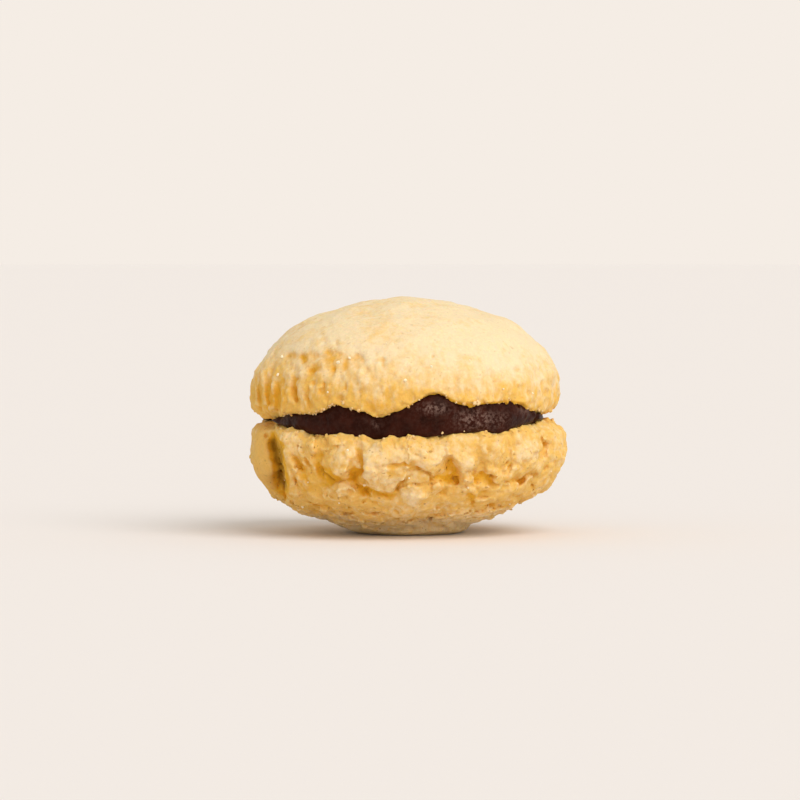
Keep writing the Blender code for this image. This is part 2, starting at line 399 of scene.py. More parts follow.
def draw(field, base, reach, relief, seed, lift=1.0):
    """Adds relief to a dome, as drawn from the front, and the like of it round the back."""
    chosen, (x, y, z) = field.band(base, reach)
    bend = [
        0.15 * field.noise(1.1, seed + i)[chosen] + 0.085 * field.noise(0.5, seed + 2 + i)[chosen]
        for i in range(2)
    ]
    across = np.maximum(np.hypot(x, y), 1e-3)
    off_axis = smooth_step(across, 2.5, 6.0)
    drawn_in_front = smooth_step(-y / across, 0.06, 0.30)
    total, drawn_browning_and_shading = np.zeros_like(x), np.zeros_like(x)
    for azimuth, mirrored, stretch, bending, none, full in VIEWS:
        c, s = math.cos(math.radians(azimuth)), math.sin(math.radians(azimuth))
        u, v = x * c + y * s, y * c - x * s
        share = smooth_step(-v / across, none, full)
        if azimuth:
            share = share * (1.0 - drawn_in_front)
        some = np.nonzero(share > 0)[0]
        u = -u[some] if mirrored else u[some]
        p, q = front_view(u, v[some], z[some])
        bending = bending * (1.0 - 0.65 * (1.0 - smooth_step(p, -12.6, -11.2)))
        drawn = Relief(
            p * stretch + bending * bend[0][some],
            q + np.minimum(bending, 1.5) * bend[1][some],
            lift,
        )
        relief(drawn, azimuth == 0.0)
        share = share[some] * off_axis[some]
        total[some] += share * drawn.h
        drawn_browning_and_shading[some] += share * drawn.drawn_browning_and_shading
    return chosen, z, total, drawn_browning_and_shading


def soften(field, chosen, total, reach, crisp=0.0):
    """Drawn values over the whole grid, their steps worn down over reach (mm) but for a
    crisp share."""
    values = np.zeros(field.shape, np.float32)
    values[chosen] = total
    radius = max(1, round(reach / field.step))
    return crisp * values + (1.0 - crisp) * box_blur(box_blur(values, radius), radius)


# ---------------------------------------------------------------- from field to mesh
def box_blur(values, radius):
    """Mean over a cube of (2 radius + 1) samples a side."""
    out = values
    for axis in range(3):
        n = out.shape[axis]
        pad = [(radius + 1, radius) if i == axis else (0, 0) for i in range(3)]
        total = np.cumsum(np.pad(out, pad, mode="edge"), axis=axis, dtype=np.float32)
        high = np.take(total, np.arange(2 * radius + 1, n + 2 * radius + 1), axis=axis)
        low = np.take(total, np.arange(0, n), axis=axis)
        out = (high - low) / (2 * radius + 1)
    return out


def sample(field, values, points):
    """Trilinear look-up of a grid of values at points (mm)."""
    g = (points - field.low) / field.step
    g = np.clip(g, 0.0, np.array(field.shape) - 1.001)
    i = g.astype(np.int32)
    f = (g - i).astype(np.float32)
    out = 0.0
    for a in (0, 1):
        wa = f[:, 0] if a else 1 - f[:, 0]
        for b in (0, 1):
            wb = f[:, 1] if b else 1 - f[:, 1]
            for c in (0, 1):
                wc = f[:, 2] if c else 1 - f[:, 2]
                out = out + wa * wb * wc * values[i[:, 0] + a, i[:, 1] + b, i[:, 2] + c]
    return out


def hollowness(field, points, reach):
    """How enclosed points of the surface are within reach (mm): 0 on a flat, up to about 1
    at the bottom of a crack, negative on an edge."""
    solid = np.clip(0.5 - field.d / field.step, 0.0, 1.0)
    mean = box_blur(solid, max(1, round(reach / field.step)))
    return 2.0 * sample(field, mean, points) - 1.0


def largest_body(count, corners):
    """True for the points of the biggest connected body: corners is (faces, 4) of indices."""
    label = np.arange(count)
    pairs = np.concatenate([corners[:, [0, 1]], corners[:, [1, 2]], corners[:, [2, 3]]])
    pairs = pairs[pairs[:, 0] != pairs[:, 1]]
    while True:
        low = np.minimum(label[pairs[:, 0]], label[pairs[:, 1]])
        before = label.copy()
        np.minimum.at(label, pairs[:, 0], low)
        np.minimum.at(label, pairs[:, 1], low)
        np.minimum.at(label, before, label)
        while True:
            jumped = label[label]
            if (jumped == label).all():
                break
            label = jumped
        if (label == before).all():
            break
    names, sizes = np.unique(label, return_counts=True)
    return label == names[np.argmax(sizes)]


def mesh_of(field, floor_cut=None):
    """The surface where the field is zero: points and quads of its biggest body."""
    grid = openvdb.FloatGrid(3.0)
    grid.copyFromArray(np.clip(field.d, -3.0, 3.0).astype(np.float32))
    points, tris, quads = grid.convertToPolygons(isovalue=0.0, adaptivity=0.0)
    points = np.array(points, np.float32) * field.step + field.low
    corners = np.array(quads, np.int64).reshape(-1, 4)
    tris = np.array(tris, np.int64).reshape(-1, 3)
    if len(tris):
        corners = np.concatenate([corners, tris[:, [0, 1, 2, 2]]])
    keep = largest_body(len(points), corners)
    corners = corners[keep[corners[:, 0]]]
    number = np.cumsum(keep) - 1
    points = points[keep]
    corners = number[corners]
    if floor_cut is not None:
        points[:, 2] = np.maximum(points[:, 2], floor_cut)
    # The polygons come facing inwards for a field that is negative inside.
    a, b, c = (points[corners[:, i]] for i in range(3))
    volume = np.einsum("ij,ij->i", a, np.cross(b, c)).sum()
    if volume < 0:
        corners = corners[:, ::-1]
    return points, corners


def to_object(name, points, corners, material, values=None):
    """A mesh object in metres from points in mm and quads or triangles."""
    mesh = bpy.data.meshes.new(name)
    mesh.vertices.add(len(points))
    mesh.vertices.foreach_set("co", (points * MM).astype(np.float32).ravel())
    mesh.loops.add(corners.size)
    mesh.loops.foreach_set("vertex_index", corners.astype(np.int32).ravel())
    mesh.polygons.add(len(corners))
    starts = np.arange(len(corners)) * corners.shape[1]
    mesh.polygons.foreach_set("loop_start", starts.astype(np.int32))
    mesh.update(calc_edges=True)
    mesh.validate()
    mesh.shade_smooth()
    for key, value in (values or {}).items():
        layer = mesh.attributes.new(key, "FLOAT", "POINT")
        layer.data.foreach_set("value", np.ascontiguousarray(value, np.float32))
    mesh.materials.append(material)
    obj = bpy.data.objects.new(name, mesh)
    bpy.context.scene.collection.objects.link(obj)
    return obj


def thin_hidden(obj, hidden, ratio):
    """Fewer faces where nothing is seen: hidden is True for the points to thin out."""
    group = obj.vertex_groups.new(name="thin")
    group.add(np.nonzero(hidden)[0].tolist(), 1.0, "REPLACE")
    modifier = obj.modifiers.new("thin", "DECIMATE")
    modifier.vertex_group = "thin"
    modifier.vertex_group_factor = 1.0
    modifier.ratio = ratio
    graph = bpy.context.evaluated_depsgraph_get()
    mesh = bpy.data.meshes.new_from_object(obj.evaluated_get(graph), depsgraph=graph)
    old = obj.data
    obj.modifiers.clear()
    obj.vertex_groups.clear()
    obj.data = mesh
    bpy.data.meshes.remove(old)
    obj.data.name = obj.name
    obj.data.shade_smooth()


# ---------------------------------------------------------------- the upper dome
def upper_relief(r, front):
    """What the upper biscuit shows: a smooth cap over a rougher, furrowed band."""
    # The step on the left shoulder, and the brow where the cap ends.
    r.trench(
        ((-13.6, 19.2, 0.3), (-12.4, 20.2), (-11.2, 20.6), (-10.2, 20.8, 0.3)), 0.30, 0.35, 0.8
    )
    r.trench(
        ((-12.9, 17.5, 0.4), (-11.6, 17.85), (-10.0, 17.75), (-8.4, 17.85), (-6.8, 17.8),
         (-5.2, 17.6), (-3.4, 17.2), (-1.5, 16.9, 0.4)), 0.10, 0.20, 1.1,
    )
    for place, size, depth in (
        ((-11.9, 17.65), (0.60, 0.42), 0.28), ((-10.4, 17.35), (0.50, 0.65), 0.40),
        ((-7.9, 17.5), (0.40, 0.75), 0.28), ((-6.35, 16.55), (0.36, 0.60), 0.26),
        ((-5.1, 17.1), (0.42, 0.55), 0.24), ((-2.5, 16.75), (0.26, 0.50), 0.22),
        ((3.15, 17.3), (0.22, 0.50), 0.28), ((5.6, 18.7), (0.13, 0.55), 0.18),
        ((7.3, 17.45), (0.42, 0.30), 0.24), ((9.16, 17.3), (0.16, 0.45), 0.16),
        ((11.0, 16.3), (0.26, 0.30), 0.26), ((3.9, 15.45), (0.20, 0.22), 0.30),
        ((4.7, 15.45), (0.26, 0.20), 0.26), ((-8.36, 19.35), (0.50, 0.40), 0.22),
        ((-7.9, 21.0), (0.40, 0.20), 0.12), ((0.5, 21.45), (0.34, 0.14), 0.12),
        ((-9.1, 16.4), (0.34, 0.60), 0.18), ((-4.2, 16.2), (0.30, 0.50), 0.14),
        ((5.6, 13.85), (0.40, 0.30), 0.25), ((13.7, 13.9), (0.45, 0.50), 0.28),
    ):
        r.dent(place, (1.05 * size[0], 1.5 * size[1]), 0.55 * depth)
        # Painted shade: each dent is browned as if shade fell in it.
        r.browning_and_shading_patch(place, (size[0], 1.5 * size[1]), 0.9 * depth)
    # Upright furrows low on the left, deepest by the seam, browned with painted shade.
    r.trench(((-11.6, 15.7, 0.5), (-11.4, 14.4), (-11.2, 13.3, 0.7)), 0.42, 0.40, 0.50)
    r.trench(((-10.3, 14.3, 0.5), (-10.1, 13.3), (-9.9, 12.5, 0.8)), 0.38, 0.50, 0.50)
    r.trench(((-8.4, 15.0, 0.5), (-8.3, 14.0), (-8.2, 13.1, 0.7)), 0.32, 0.45, 0.45)
    r.trench(((-15.0, 15.8, 0.5), (-14.95, 14.2), (-14.8, 12.3, 0.6)), 0.38, 0.40, 0.40, tone=0.45)
    r.trench(((-14.2, 16.0, 0.5), (-14.1, 14.5), (-13.9, 13.0, 0.8)), 0.42, 0.42, 0.45, tone=0.45)
    r.trench(((-13.2, 14.9, 0.5), (-13.2, 13.7), (-13.1, 12.3, 0.8)), 0.42, 0.48, 0.48, tone=0.45)
    r.trench(((-12.5, 16.2, 0.4), (-12.45, 15.2), (-12.3, 14.2, 0.5)), 0.24, 0.32, 0.40)
    r.trench(((-9.4, 15.9, 0.4), (-9.3, 15.0), (-9.1, 14.2, 0.4)), 0.20, 0.30, 0.36)
    r.trench(((-6.9, 14.4, 0.4), (-6.8, 13.7), (-6.7, 13.2, 0.5)), 0.22, 0.35, 0.35)
    r.trench(((-13.3, 17.4, 0.4), (-13.5, 16.3), (-13.8, 14.9, 0.4)), 0.24, 0.12, 0.6)
    # Browner patches under the brow, low on the left and by the seam: browning and painted shade;
    # the paler patch is painted light.
    r.browning_and_shading_patch((-8.2, 16.9), (3.4, 1.1), 0.62, turn=-4)
    r.browning_and_shading_patch((-13.6, 13.2), (1.7, 1.9), 1.25)
    r.browning_and_shading_patch((-9.3, 13.4), (1.6, 1.3), 0.35)
    r.browning_and_shading_patch((-11.6, 15.9), (1.2, 0.8), -0.20)
    r.browning_and_shading_patch((5.6, 13.9), (0.9, 0.5), 0.18)
    r.browning_and_shading_patch((13.6, 13.8), (0.9, 0.7), 0.20)
    r.browning_and_shading_patch((-3.2, 12.6), (2.4, 0.9), 0.95)
    rng = np.random.RandomState(31 if front else 37)
    for _ in range(46):
        # Short upright streaks under the brow, browned with painted shade.
        p, q = rng.uniform(-12.6, -2.6), rng.uniform(15.9, 18.1)
        long, wide = rng.uniform(0.25, 0.65), rng.uniform(0.14, 0.30)
        r.trench(
            ((p, q + long, 0.3), (p + 0.04, q), (p + 0.08, q - long, 0.3)),
            rng.uniform(0.08, 0.20), wide, wide, tone=1.8,
        )
    for _ in range(64):
        p, q = rng.uniform(-14.6, 14.4), rng.uniform(12.4, 16.9)
        strength = (0.26 if p < -6 and q < 15.5 else 0.12) * rng.uniform(0.5, 1.3)
        long = rng.uniform(0.3, 0.9)
        wide = rng.uniform(0.20, 0.42)
        r.trench(
            ((p, q + long, 0.3), (p + 0.05, q), (p + 0.1, q - long, 0.3)), strength, wide, wide
        )
    for _ in range(70):
        p, q = rng.uniform(-14.5, 14.5), rng.uniform(12.6, 19.0)
        size = rng.uniform(0.10, 0.24)
        r.dent((p, q), (size, size * rng.uniform(0.8, 1.8)), rng.uniform(0.05, 0.20))


def sculpt_top():
    dome = TOP
    field = Field((-17.2, -17.2, 10.6), (16.6, 17.2, 24.6), VOXEL)
    base = dome_base(dome, field.x, field.y, field.z)
    x, y, z = field.x, field.y, field.z
    azimuth = np.degrees(np.arctan2(x, -y))
    off_axis = smooth_step(np.hypot(x, y), 2.5, 8.0)
    # Broad forms: the full right shoulder, the flatter slopes on the left and at the back.
    broad = 0.10 * soft_noise(x, y, z, 6.5, 11) + 0.05 * soft_noise(x, y, z, 3.2, 12)
    for centre, width, height, tall, out in (
        (-90, 22, 11.7, 0.7, 0.45), (84, 24, 22.9, 1.2, -0.55), (-78, 22, 22.9, 1.3, -0.45),
        (88, 24, 21.1, 1.0, 0.22), (88, 16, 12.2, 0.9, -0.40),
        (96, 26, 17.2, 2.0, 0.10), (-84, 24, 18.6, 1.8, -0.25),
        (18, 20, 16.4, 2.4, 0.15), (150, 18, 17.6, 1.8, -0.40), (-150, 20, 18.5, 2.2, 0.35),
        (-112, 16, 16.4, 1.6, -0.25), (178, 14, 15.2, 1.4, 0.22),
    ):
        broad = broad + off_axis * out * around(azimuth, centre, width) * np.exp(
            -(((z - height) / tall) ** 2)
        )
    field.d = (base - broad).astype(np.float32)
    chosen, _, total, drawn_browning_and_shading = draw(field, base, 1.9, upper_relief, 120)
    heights = soften(field, chosen, total * 1.35, 0.13, 0.35)
    field.d -= heights
    field.even_out()
    return field, heights, soften(field, chosen, drawn_browning_and_shading, 0.13)


def finish_top(field):
    """The grain, the streaks and the seam of the upper dome."""
    streaks = field.noise((0.55, 0.55, 2.2), 111)
    grain = field.noise(0.36, 112)
    fine = field.noise(0.8, 113)
    chosen, (x, y, z) = field.band(field.d, 0.5)
    points = np.stack([x, y, z], axis=1)
    azimuth = np.degrees(np.arctan2(x, -y))
    low = 1.0 - smooth_step(z, 15.6, 18.6)  # the rougher band near the seam
    left = 0.55 + 0.45 * around(azimuth, -65, 60)
    move = 0.055 * low * left * streaks[chosen]
    move += (0.018 + 0.030 * low) * grain[chosen] + (0.020 + 0.045 * low) * fine[chosen]
    near, second, own = cells(points, 0.55)
    move += (0.03 + 0.09 * low) * (0.45 - near) + 0.05 * low * (own - 0.5)
    # A crumbly fringe along the seam.
    fringe = 1.0 - smooth_step(z - seam_height(x, y, True), 0.1, 1.1)
    move += fringe * (0.26 * (0.45 - near) + 0.16 * (own - 0.5) + 0.04 * grain[chosen])
    near, second, own = cells(points + 3.3, 1.3)
    move += 0.05 * low * (own - 0.5)
    move -= (0.04 + 0.09 * low) * smooth_step(-fine[chosen] + 0.6 * grain[chosen], 2.0, 3.0)
    field.d[chosen] -= move
    face = seam_height(x, y, True) + 0.12 * fine[chosen] + 0.10 * grain[chosen]
    face += 0.25 * (near - 0.45) * (own > 0.4)
    # Inside the band the seam's cut follows the grain; far from it the plain cut is enough.
    cut = (seam_height(field.x, field.y, True) - field.z).astype(np.float32)
    cut[chosen] = face - z
    field.d = smooth_max(field.d, cut, 0.35)
    return field


# ---------------------------------------------------------------- the lower dome
def lower_relief(r, front):
    """What the lower biscuit's cracked crust shows, from left to right. Its browner patches and
    browned cuts are partly painted shade in hollows, cracks and under ledges; its paler patches are
    mostly painted light on faces that catch the light.
    """
    if front:
        # The lobe that split from the crust on the left, and the cliff beside it.
        r.trench(
            ((-13.6, 10.3, 0.3), (-13.25, 9.6, 0.6), (-12.95, 8.9), (-12.70, 7.6), (-12.54, 6.3),
             (-12.42, 5.1), (-12.4, 4.2, 0.9), (-12.25, 3.3, 0.3)),
            1.75, 0.07, 2.7, curve=1.5, tone=0.2,
        )
        # Painted shadow: a dark brown band in the cleft, where the cliff's shade falls.
        r.trench(
            ((-13.5, 9.9, 0.4), (-13.05, 9.3, 0.8), (-12.88, 8.6), (-12.62, 8.0), (-12.72, 7.4),
             (-12.46, 6.7), (-12.34, 6.1), (-12.40, 5.6), (-12.26, 4.9), (-12.34, 4.3),
             (-12.32, 3.8, 0.7), (-12.2, 3.3, 0.3)),
            0.35, 0.07, 1.30, curve=0.9, tone=8.6,
        )
        # Painted shade over the lobe, painted light along its ridge.
        r.browning_and_shading_patch((-14.3, 7.4), (1.2, 3.2), 0.30)
        r.browning_and_shading_patch((-14.6, 7.4), (0.7, 2.4), -0.15)
        r.trench(((-14.85, 9.1, 0.4), (-14.9, 8.2), (-14.85, 7.2, 0.4)), 0.18, 0.15, 0.20)
        r.dent((-14.27, 9.7), (0.28, 0.40), 0.35)
    # The crust beside it stands up to a lip at the cliff, with a fuller upper shelf.
    r.plate(
        ((-13.5, 10.2), (-13.15, 8.8), (-12.9, 7.5), (-12.6, 6.2), (-12.4, 5.1), (-12.5, 4.0),
         (-10.0, 3.4), (-9.4, 10.2)), 0.45, soft=0.10, crown=0.0, fade=((-10.0, 7), (-12.7, 7)),
    )
    r.plate(
        ((-13.6, 10.4), (-13.1, 8.8), (-12.85, 7.5), (-12.5, 6.2), (-12.35, 5.1), (-12.55, 4.0),
         (-11.6, 3.6), (-10.2, 4.2), (-9.0, 5.4), (-8.9, 6.4), (-9.6, 7.6), (-9.5, 9.2),
         (-9.3, 10.6)), 0.18, soft=0.14, crown=0.3, fade=((-11, 11.4), (-11, 9.4)),
    )
    r.plate(
        ((-13.4, 10.4), (-13.0, 8.9), (-12.9, 8.0), (-11.6, 7.6), (-10.4, 7.5), (-9.8, 8.0),
         (-9.6, 9.3), (-9.6, 10.6)), 0.16, soft=0.30, fade=((-11, 11.4), (-11, 9.4)),
    )
    r.trench(((-9.5, 9.8, 0.5), (-9.55, 9.0), (-9.6, 8.2, 0.5)), 0.55, 0.16, 0.16)
    r.plate(((-9.4, 10.0), (-8.6, 10.0), (-8.5, 7.6), (-8.9, 7.0), (-9.4, 8.2)), -0.35, soft=0.22)
    r.trench(((-12.0, 8.2, 0.4), (-11.2, 7.3), (-10.7, 6.2), (-10.5, 5.2, 0.4)), 0.30, 0.20, 0.65)
    r.trench(((-11.9, 6.5, 0.4), (-11.3, 5.6), (-11.1, 4.8, 0.4)), 0.28, 0.15, 0.50)
    r.trench(((-10.6, 8.1, 0.4), (-9.9, 7.0), (-9.4, 6.0, 0.4)), 0.28, 0.18, 0.50)
    r.browning_and_shading_patch((-10.9, 5.7), (1.9, 1.9), 0.50)
    r.browning_and_shading_patch((-11.5, 9.2), (1.2, 1.0), -0.15)
    r.dent((-11.1, 4.15), (0.32, 0.48), 0.25)
    r.dent((-10.15, 4.3), (0.26, 0.36), 0.28)
    r.dent((-11.3, 5.6), (0.30, 0.25), 0.20)
    r.browning_and_shading_patch((-8.9, 7.9), (0.5, 1.1), 0.30)
    r.browning_and_shading_patch((-8.6, 4.9), (1.5, 1.4), 0.45)
    # The wedge and the valley under its left edge.
    r.plate(
        ((-8.6, 10.2), (-8.55, 7.05), (-8.0, 6.35), (-7.2, 5.8), (-6.5, 5.62), (-6.2, 5.8),
         (-5.8, 7.0), (-5.45, 8.3), (-5.3, 10.2)), 0.60, soft=0.13, fade=((-8.4, 8.8), (-6.7, 6.3)),
    )
    r.trench(
        ((-8.8, 7.3, 0.4), (-8.1, 6.35, 0.8), (-7.3, 5.65), (-6.5, 5.3), (-6.0, 5.4, 0.8)),
        0.75, 0.22, 1.05,
    )
    # Painted shade in the valley, painted light on the wedge's face.
    r.browning_and_shading_patch((-7.9, 6.1), (1.0, 0.6), 1.75, turn=-35)
    r.browning_and_shading_patch((-7.0, 8.0), (1.2, 1.5), -0.9)
    # A pale crumb stuck below the valley.
    r.plate(
        ((-7.05, 4.9), (-6.3, 5.0), (-5.95, 4.4), (-6.05, 3.4), (-6.7, 3.3), (-7.1, 3.9)),
        0.50, soft=0.14, crown=0.5,
    )
    r.browning_and_shading_patch((-6.5, 4.2), (0.7, 1.0), -1.0)
    # The deep crevice.
    r.trench(
        ((-5.4, 8.5, 0.35), (-5.0, 7.7, 0.7), (-4.75, 7.2), (-4.75, 6.6), (-5.0, 6.1), (-5.2, 5.4),
         (-5.0, 4.7), (-4.5, 4.1), (-4.0, 3.5, 0.6), (-3.6, 3.2, 0.2)), 0.95, 0.20, 0.95,
    )
    r.plate(((-6.0, 6.3), (-5.2, 6.6), (-4.9, 5.6), (-5.2, 5.2), (-5.9, 5.5)), -0.45, soft=0.30)
    # Painted shade in the crevice.
    r.browning_and_shading_patch((-5.4, 5.9), (0.7, 0.7), 0.35)
    r.browning_and_shading_patch((-4.6, 3.9), (0.7, 0.9), 0.80, turn=-40)
    r.dent((-4.05, 3.05), (0.8, 0.4), 0.25)
    # The big lump, in two tiers, undercut at the bottom.
    r.plate(
        ((-4.75, 10.2), (-4.7, 7.3), (-4.55, 6.4), (-4.7, 5.6), (-4.55, 4.7), (-4.2, 4.2),
         (-3.4, 4.0), (-2.2, 3.95), (-1.3, 4.15), (-1.0, 4.8), (-0.6, 5.6), (0.0, 6.2), (0.2, 7.0),
         (0.0, 10.2)), 0.65, soft=0.13, fade=((-2.4, 9.8), (-2.4, 7.2)),
    )
    r.trench(((-3.0, 6.75, 0.4), (-1.9, 7.0), (-0.9, 7.0), (-0.1, 6.8, 0.5)), 0.42, 0.12, 0.60)
    # Painted shade under the tier's ledge, painted light on the upper faces.
    r.browning_and_shading_patch((-1.3, 6.75), (1.5, 0.40), 0.55)
    r.browning_and_shading_patch((-3.4, 8.2), (1.2, 1.4), -0.55)
    r.browning_and_shading_patch((-0.8, 8.6), (1.2, 0.9), -0.40)
    r.trench(
        ((-4.4, 4.3, 0.5), (-3.9, 3.95), (-3.0, 3.8), (-2.0, 3.8), (-1.2, 4.05), (-0.9, 4.7, 0.5)),
        0.75, 0.15, 0.80,
    )
    # Painted shade under the undercut.
    r.browning_and_shading_patch((-2.6, 3.0), (1.6, 0.8), 0.40)
    r.dent((-4.0, 5.15), 0.26, 0.25)
    r.dent((-4.45, 4.65), 0.30, -0.18)
    r.plate(((-2.8, 10.2), (-1.0, 10.2), (-1.2, 9.25), (-2.5, 9.15)), -0.40, soft=0.20)
    # The middle lump with its tip, and what lies under it.
    r.plate(
        ((-0.1, 10.2), (0.05, 7.3), (0.7, 6.8), (1.2, 6.3), (1.8, 5.85), (2.2, 5.8), (2.6, 6.25),
         (3.4, 6.95), (4.1, 7.2), (4.35, 10.2)), 0.50, soft=0.13, fade=((2, 9.6), (2, 7.0)),
    )
    r.trench(((0.0, 6.95, 0.4), (0.8, 6.5), (1.6, 5.75), (2.4, 5.35, 0.8)), 0.40, 0.15, 0.50)
    r.browning_and_shading_patch((2.2, 7.4), (1.6, 1.6), -0.50)
    r.browning_and_shading_patch((0.4, 3.4), (1.1, 1.0), -0.8)
    r.browning_and_shading_patch((2.5, 4.4), (0.6, 0.7), -1.0)
    r.browning_and_shading_patch((-2.4, 5.3), (1.4, 0.7), 0.30)
    r.browning_and_shading_patch((8.2, 8.0), (1.0, 1.4), -0.40)
    r.plate(
        ((-0.7, 5.7), (0.3, 6.2), (1.3, 5.9), (1.9, 5.3), (1.7, 4.9), (-0.4, 4.9)), 0.25, soft=0.16
    )
    r.plate(
        ((-0.8, 4.4), (0.2, 4.65), (1.4, 4.4), (1.65, 3.6), (1.1, 2.6), (0.3, 2.2), (-0.2, 3.0),
         (-0.6, 3.6)), 0.50, soft=0.15, crown=0.5,
    )
    r.plate(((1.95, 4.6), (2.8, 5.1), (3.15, 4.6), (2.9, 3.9), (2.2, 3.55)), 0.42)
    # The three-cornered hollow, and the tongue on its right.
    r.plate(
        ((4.3, 7.35), (4.9, 6.1), (5.5, 4.9), (4.4, 4.6), (3.1, 4.8), (2.1, 5.7), (3.1, 6.4)),
        -0.90, soft=0.10, crown=0.0, fade=((3.75, 4.1), (3.95, 5.7)),
    )
    # Painted shade in the hollow.
    r.browning_and_shading_patch((4.0, 5.4), (1.2, 0.7), 0.45)
    r.plate(
        ((4.35, 10.2), (4.25, 7.2), (4.9, 5.75), (5.25, 5.0), (5.7, 4.72), (6.3, 4.95),
         (6.65, 5.7), (6.8, 7.0), (6.9, 10.2)), 0.50, soft=0.13, crown=0.5,
        fade=((5.5, 9.4), (5.5, 6.6)),
    )
    r.plate(
        ((6.5, 5.6), (7.2, 5.85), (8.3, 5.6), (8.35, 5.0), (7.4, 4.4), (6.4, 4.6)), -0.60,
        soft=0.18, crown=0.0, fade=((7.2, 4.4), (7.2, 5.6)),
    )
    r.plate(
        ((2.85, 4.3), (3.3, 4.5), (3.8, 4.0), (3.7, 3.2), (3.0, 3.2)), -0.55, soft=0.18, crown=0.0,
        fade=((3.3, 3.1), (3.3, 4.2)),
    )
    r.trench(((5.8, 4.6, 0.5), (6.2, 3.8), (6.4, 3.1), (6.8, 2.1, 0.4)), 0.35, 0.30, 0.40)
    r.browning_and_shading_patch((6.5, 3.4), (0.45, 0.8), 0.95)
    r.browning_and_shading_patch((7.6, 4.2), (1.3, 0.8), 0.25)
    r.browning_and_shading_patch((5.7, 7.2), (1.1, 1.6), -0.45)
    # Between the tongue and the right facet: a low swelling over pits.
    r.plate(
        ((7.0, 10.2), (7.0, 7.2), (7.4, 6.0), (8.6, 6.1), (9.3, 7.4), (9.5, 10.2)), 0.30,
        soft=0.22, crown=0.6, fade=((8, 10.8), (8, 9.0)),
    )
    for place, size, depth in (
        ((9.5, 6.95), 0.28, 0.30), ((9.0, 6.45), (0.55, 0.36), 0.38), ((9.9, 6.4), 0.45, 0.34),
        ((10.5, 6.45), 0.36, 0.30), ((8.4, 6.7), 0.26, 0.20), ((9.3, 5.9), 0.35, 0.24),
    ):
        r.dent(place, size, depth)
    # The broad right facet, the ledges under it and the rim's lobe past a groove.
    r.plate(
        ((9.6, 10.4), (9.9, 8.0), (10.2, 6.4), (9.8, 5.3), (10.9, 5.3), (11.9, 5.65),
         (12.7, 6.15), (13.2, 7.2), (13.3, 10.4)), 0.42, crown=0.6,
        fade=((11.5, 10.6), (11.5, 8.0)),
    )
    r.trench(
        ((9.6, 5.05, 0.4), (10.9, 5.2), (11.8, 5.5), (12.3, 5.8), (12.75, 6.1, 0.4)),
        0.50, 0.14, 0.50,
    )
    r.plate(((9.7, 4.9), (12.2, 5.25), (12.3, 4.4), (11.4, 3.95), (9.8, 3.8)), 0.20)
    r.trench(((12.3, 5.2, 0.5), (12.5, 4.6), (12.3, 4.0, 0.4)), 0.40, 0.15, 0.30)
    r.trench(
        ((13.1, 10.6, 0.4), (13.4, 9.2), (13.7, 8.5), (14.0, 7.5), (13.5, 6.7), (13.2, 6.2, 0.4)),
        0.25, 0.30, 0.60,
    )
    r.dent((13.7, 8.65), (0.30, 0.45), 0.30)
    r.dent((14.8, 9.05), (0.24, 0.26), 0.20)
    r.browning_and_shading_patch((10.0, 6.6), (1.2, 0.45), 0.45)
    r.browning_and_shading_patch((7.4, 5.3), (0.9, 0.3), 0.45)
    r.browning_and_shading_patch((11.3, 4.5), (1.4, 0.6), 0.30)
    r.browning_and_shading_patch((11.4, 7.8), (1.7, 1.6), -0.55)
    r.browning_and_shading_patch((9.3, 5.6), (0.6, 0.5), -0.40)
    r.browning_and_shading_patch((12.2, 6.9), (0.5, 0.4), 0.15)
    r.dent((11.3, 10.6), (1.3, 0.9), -0.25)
    # Layered ledges low down: each has a sharp upper edge over a hollow, browned with painted
    # shade.
    for path, depth, wide in (
        (((-4.4, 1.9, 0.3), (-2.7, 1.75), (-1.6, 1.4), (-0.2, 1.42), (0.8, 1.75), (2.6, 1.7),
          (3.6, 2.15), (4.3, 2.5, 0.3)), 0.50, 0.75),
        (((-1.0, 1.05, 0.3), (0.1, 1.2), (1.5, 1.05), (2.6, 1.0, 0.3)), 0.50, 0.60),
        (((-7.6, 1.5, 0.3), (-5.6, 1.0), (-3.4, 0.85), (-1.4, 0.6, 0.3)), 0.30, 0.80),
        (((4.6, 0.75, 0.3), (6.4, 1.05), (8.3, 1.6, 0.3)), 0.30, 0.70),
        (((2.2, 0.7, 0.3), (3.6, 0.6), (4.8, 0.8, 0.3)), 0.20, 0.40),
        (((7.0, 2.4, 0.4), (7.8, 2.55), (9.7, 2.85), (11.9, 3.45), (12.8, 3.9, 0.4)), 0.40, 0.50),
        (((3.8, 1.2, 0.3), (4.8, 1.35), (7.45, 1.65), (9.0, 2.1, 0.3)), 0.40, 0.50),
        (((-10.6, 3.3, 0.3), (-9.5, 2.9), (-7.4, 2.4), (-5.8, 2.2), (-4.9, 2.3, 0.3)), 0.50, 0.75),
        (((-12.0, 3.4, 0.3), (-10.4, 2.4), (-8.2, 1.7), (-6.0, 1.2, 0.3)), 0.50, 0.75),
        (((-11.0, 2.0, 0.3), (-9.2, 1.35), (-7.2, 0.9), (-5.0, 0.55, 0.3)), 0.40, 0.60),
        (((-6.4, 0.95, 0.3), (-4.6, 0.8), (-2.8, 0.75, 0.3)), 0.25, 0.60),
    ):
        r.trench(path, depth, 0.10, wide, tone=1.25)
    # Crumbs and pinholes all over.
    rng = np.random.RandomState(41 if front else 47)
    for _ in range(120):
        p, q = rng.uniform(-14.5, 14.5), rng.uniform(1.5, 10.0)
        size = rng.uniform(0.14, 0.34)
        depth = rng.uniform(0.06, 0.22) * (1 if rng.uniform() < 0.5 else -0.8)
        r.dent((p, q), (size, size * rng.uniform(0.5, 1.2)), depth, turn=rng.uniform(0, 90))
    for _ in range(54):
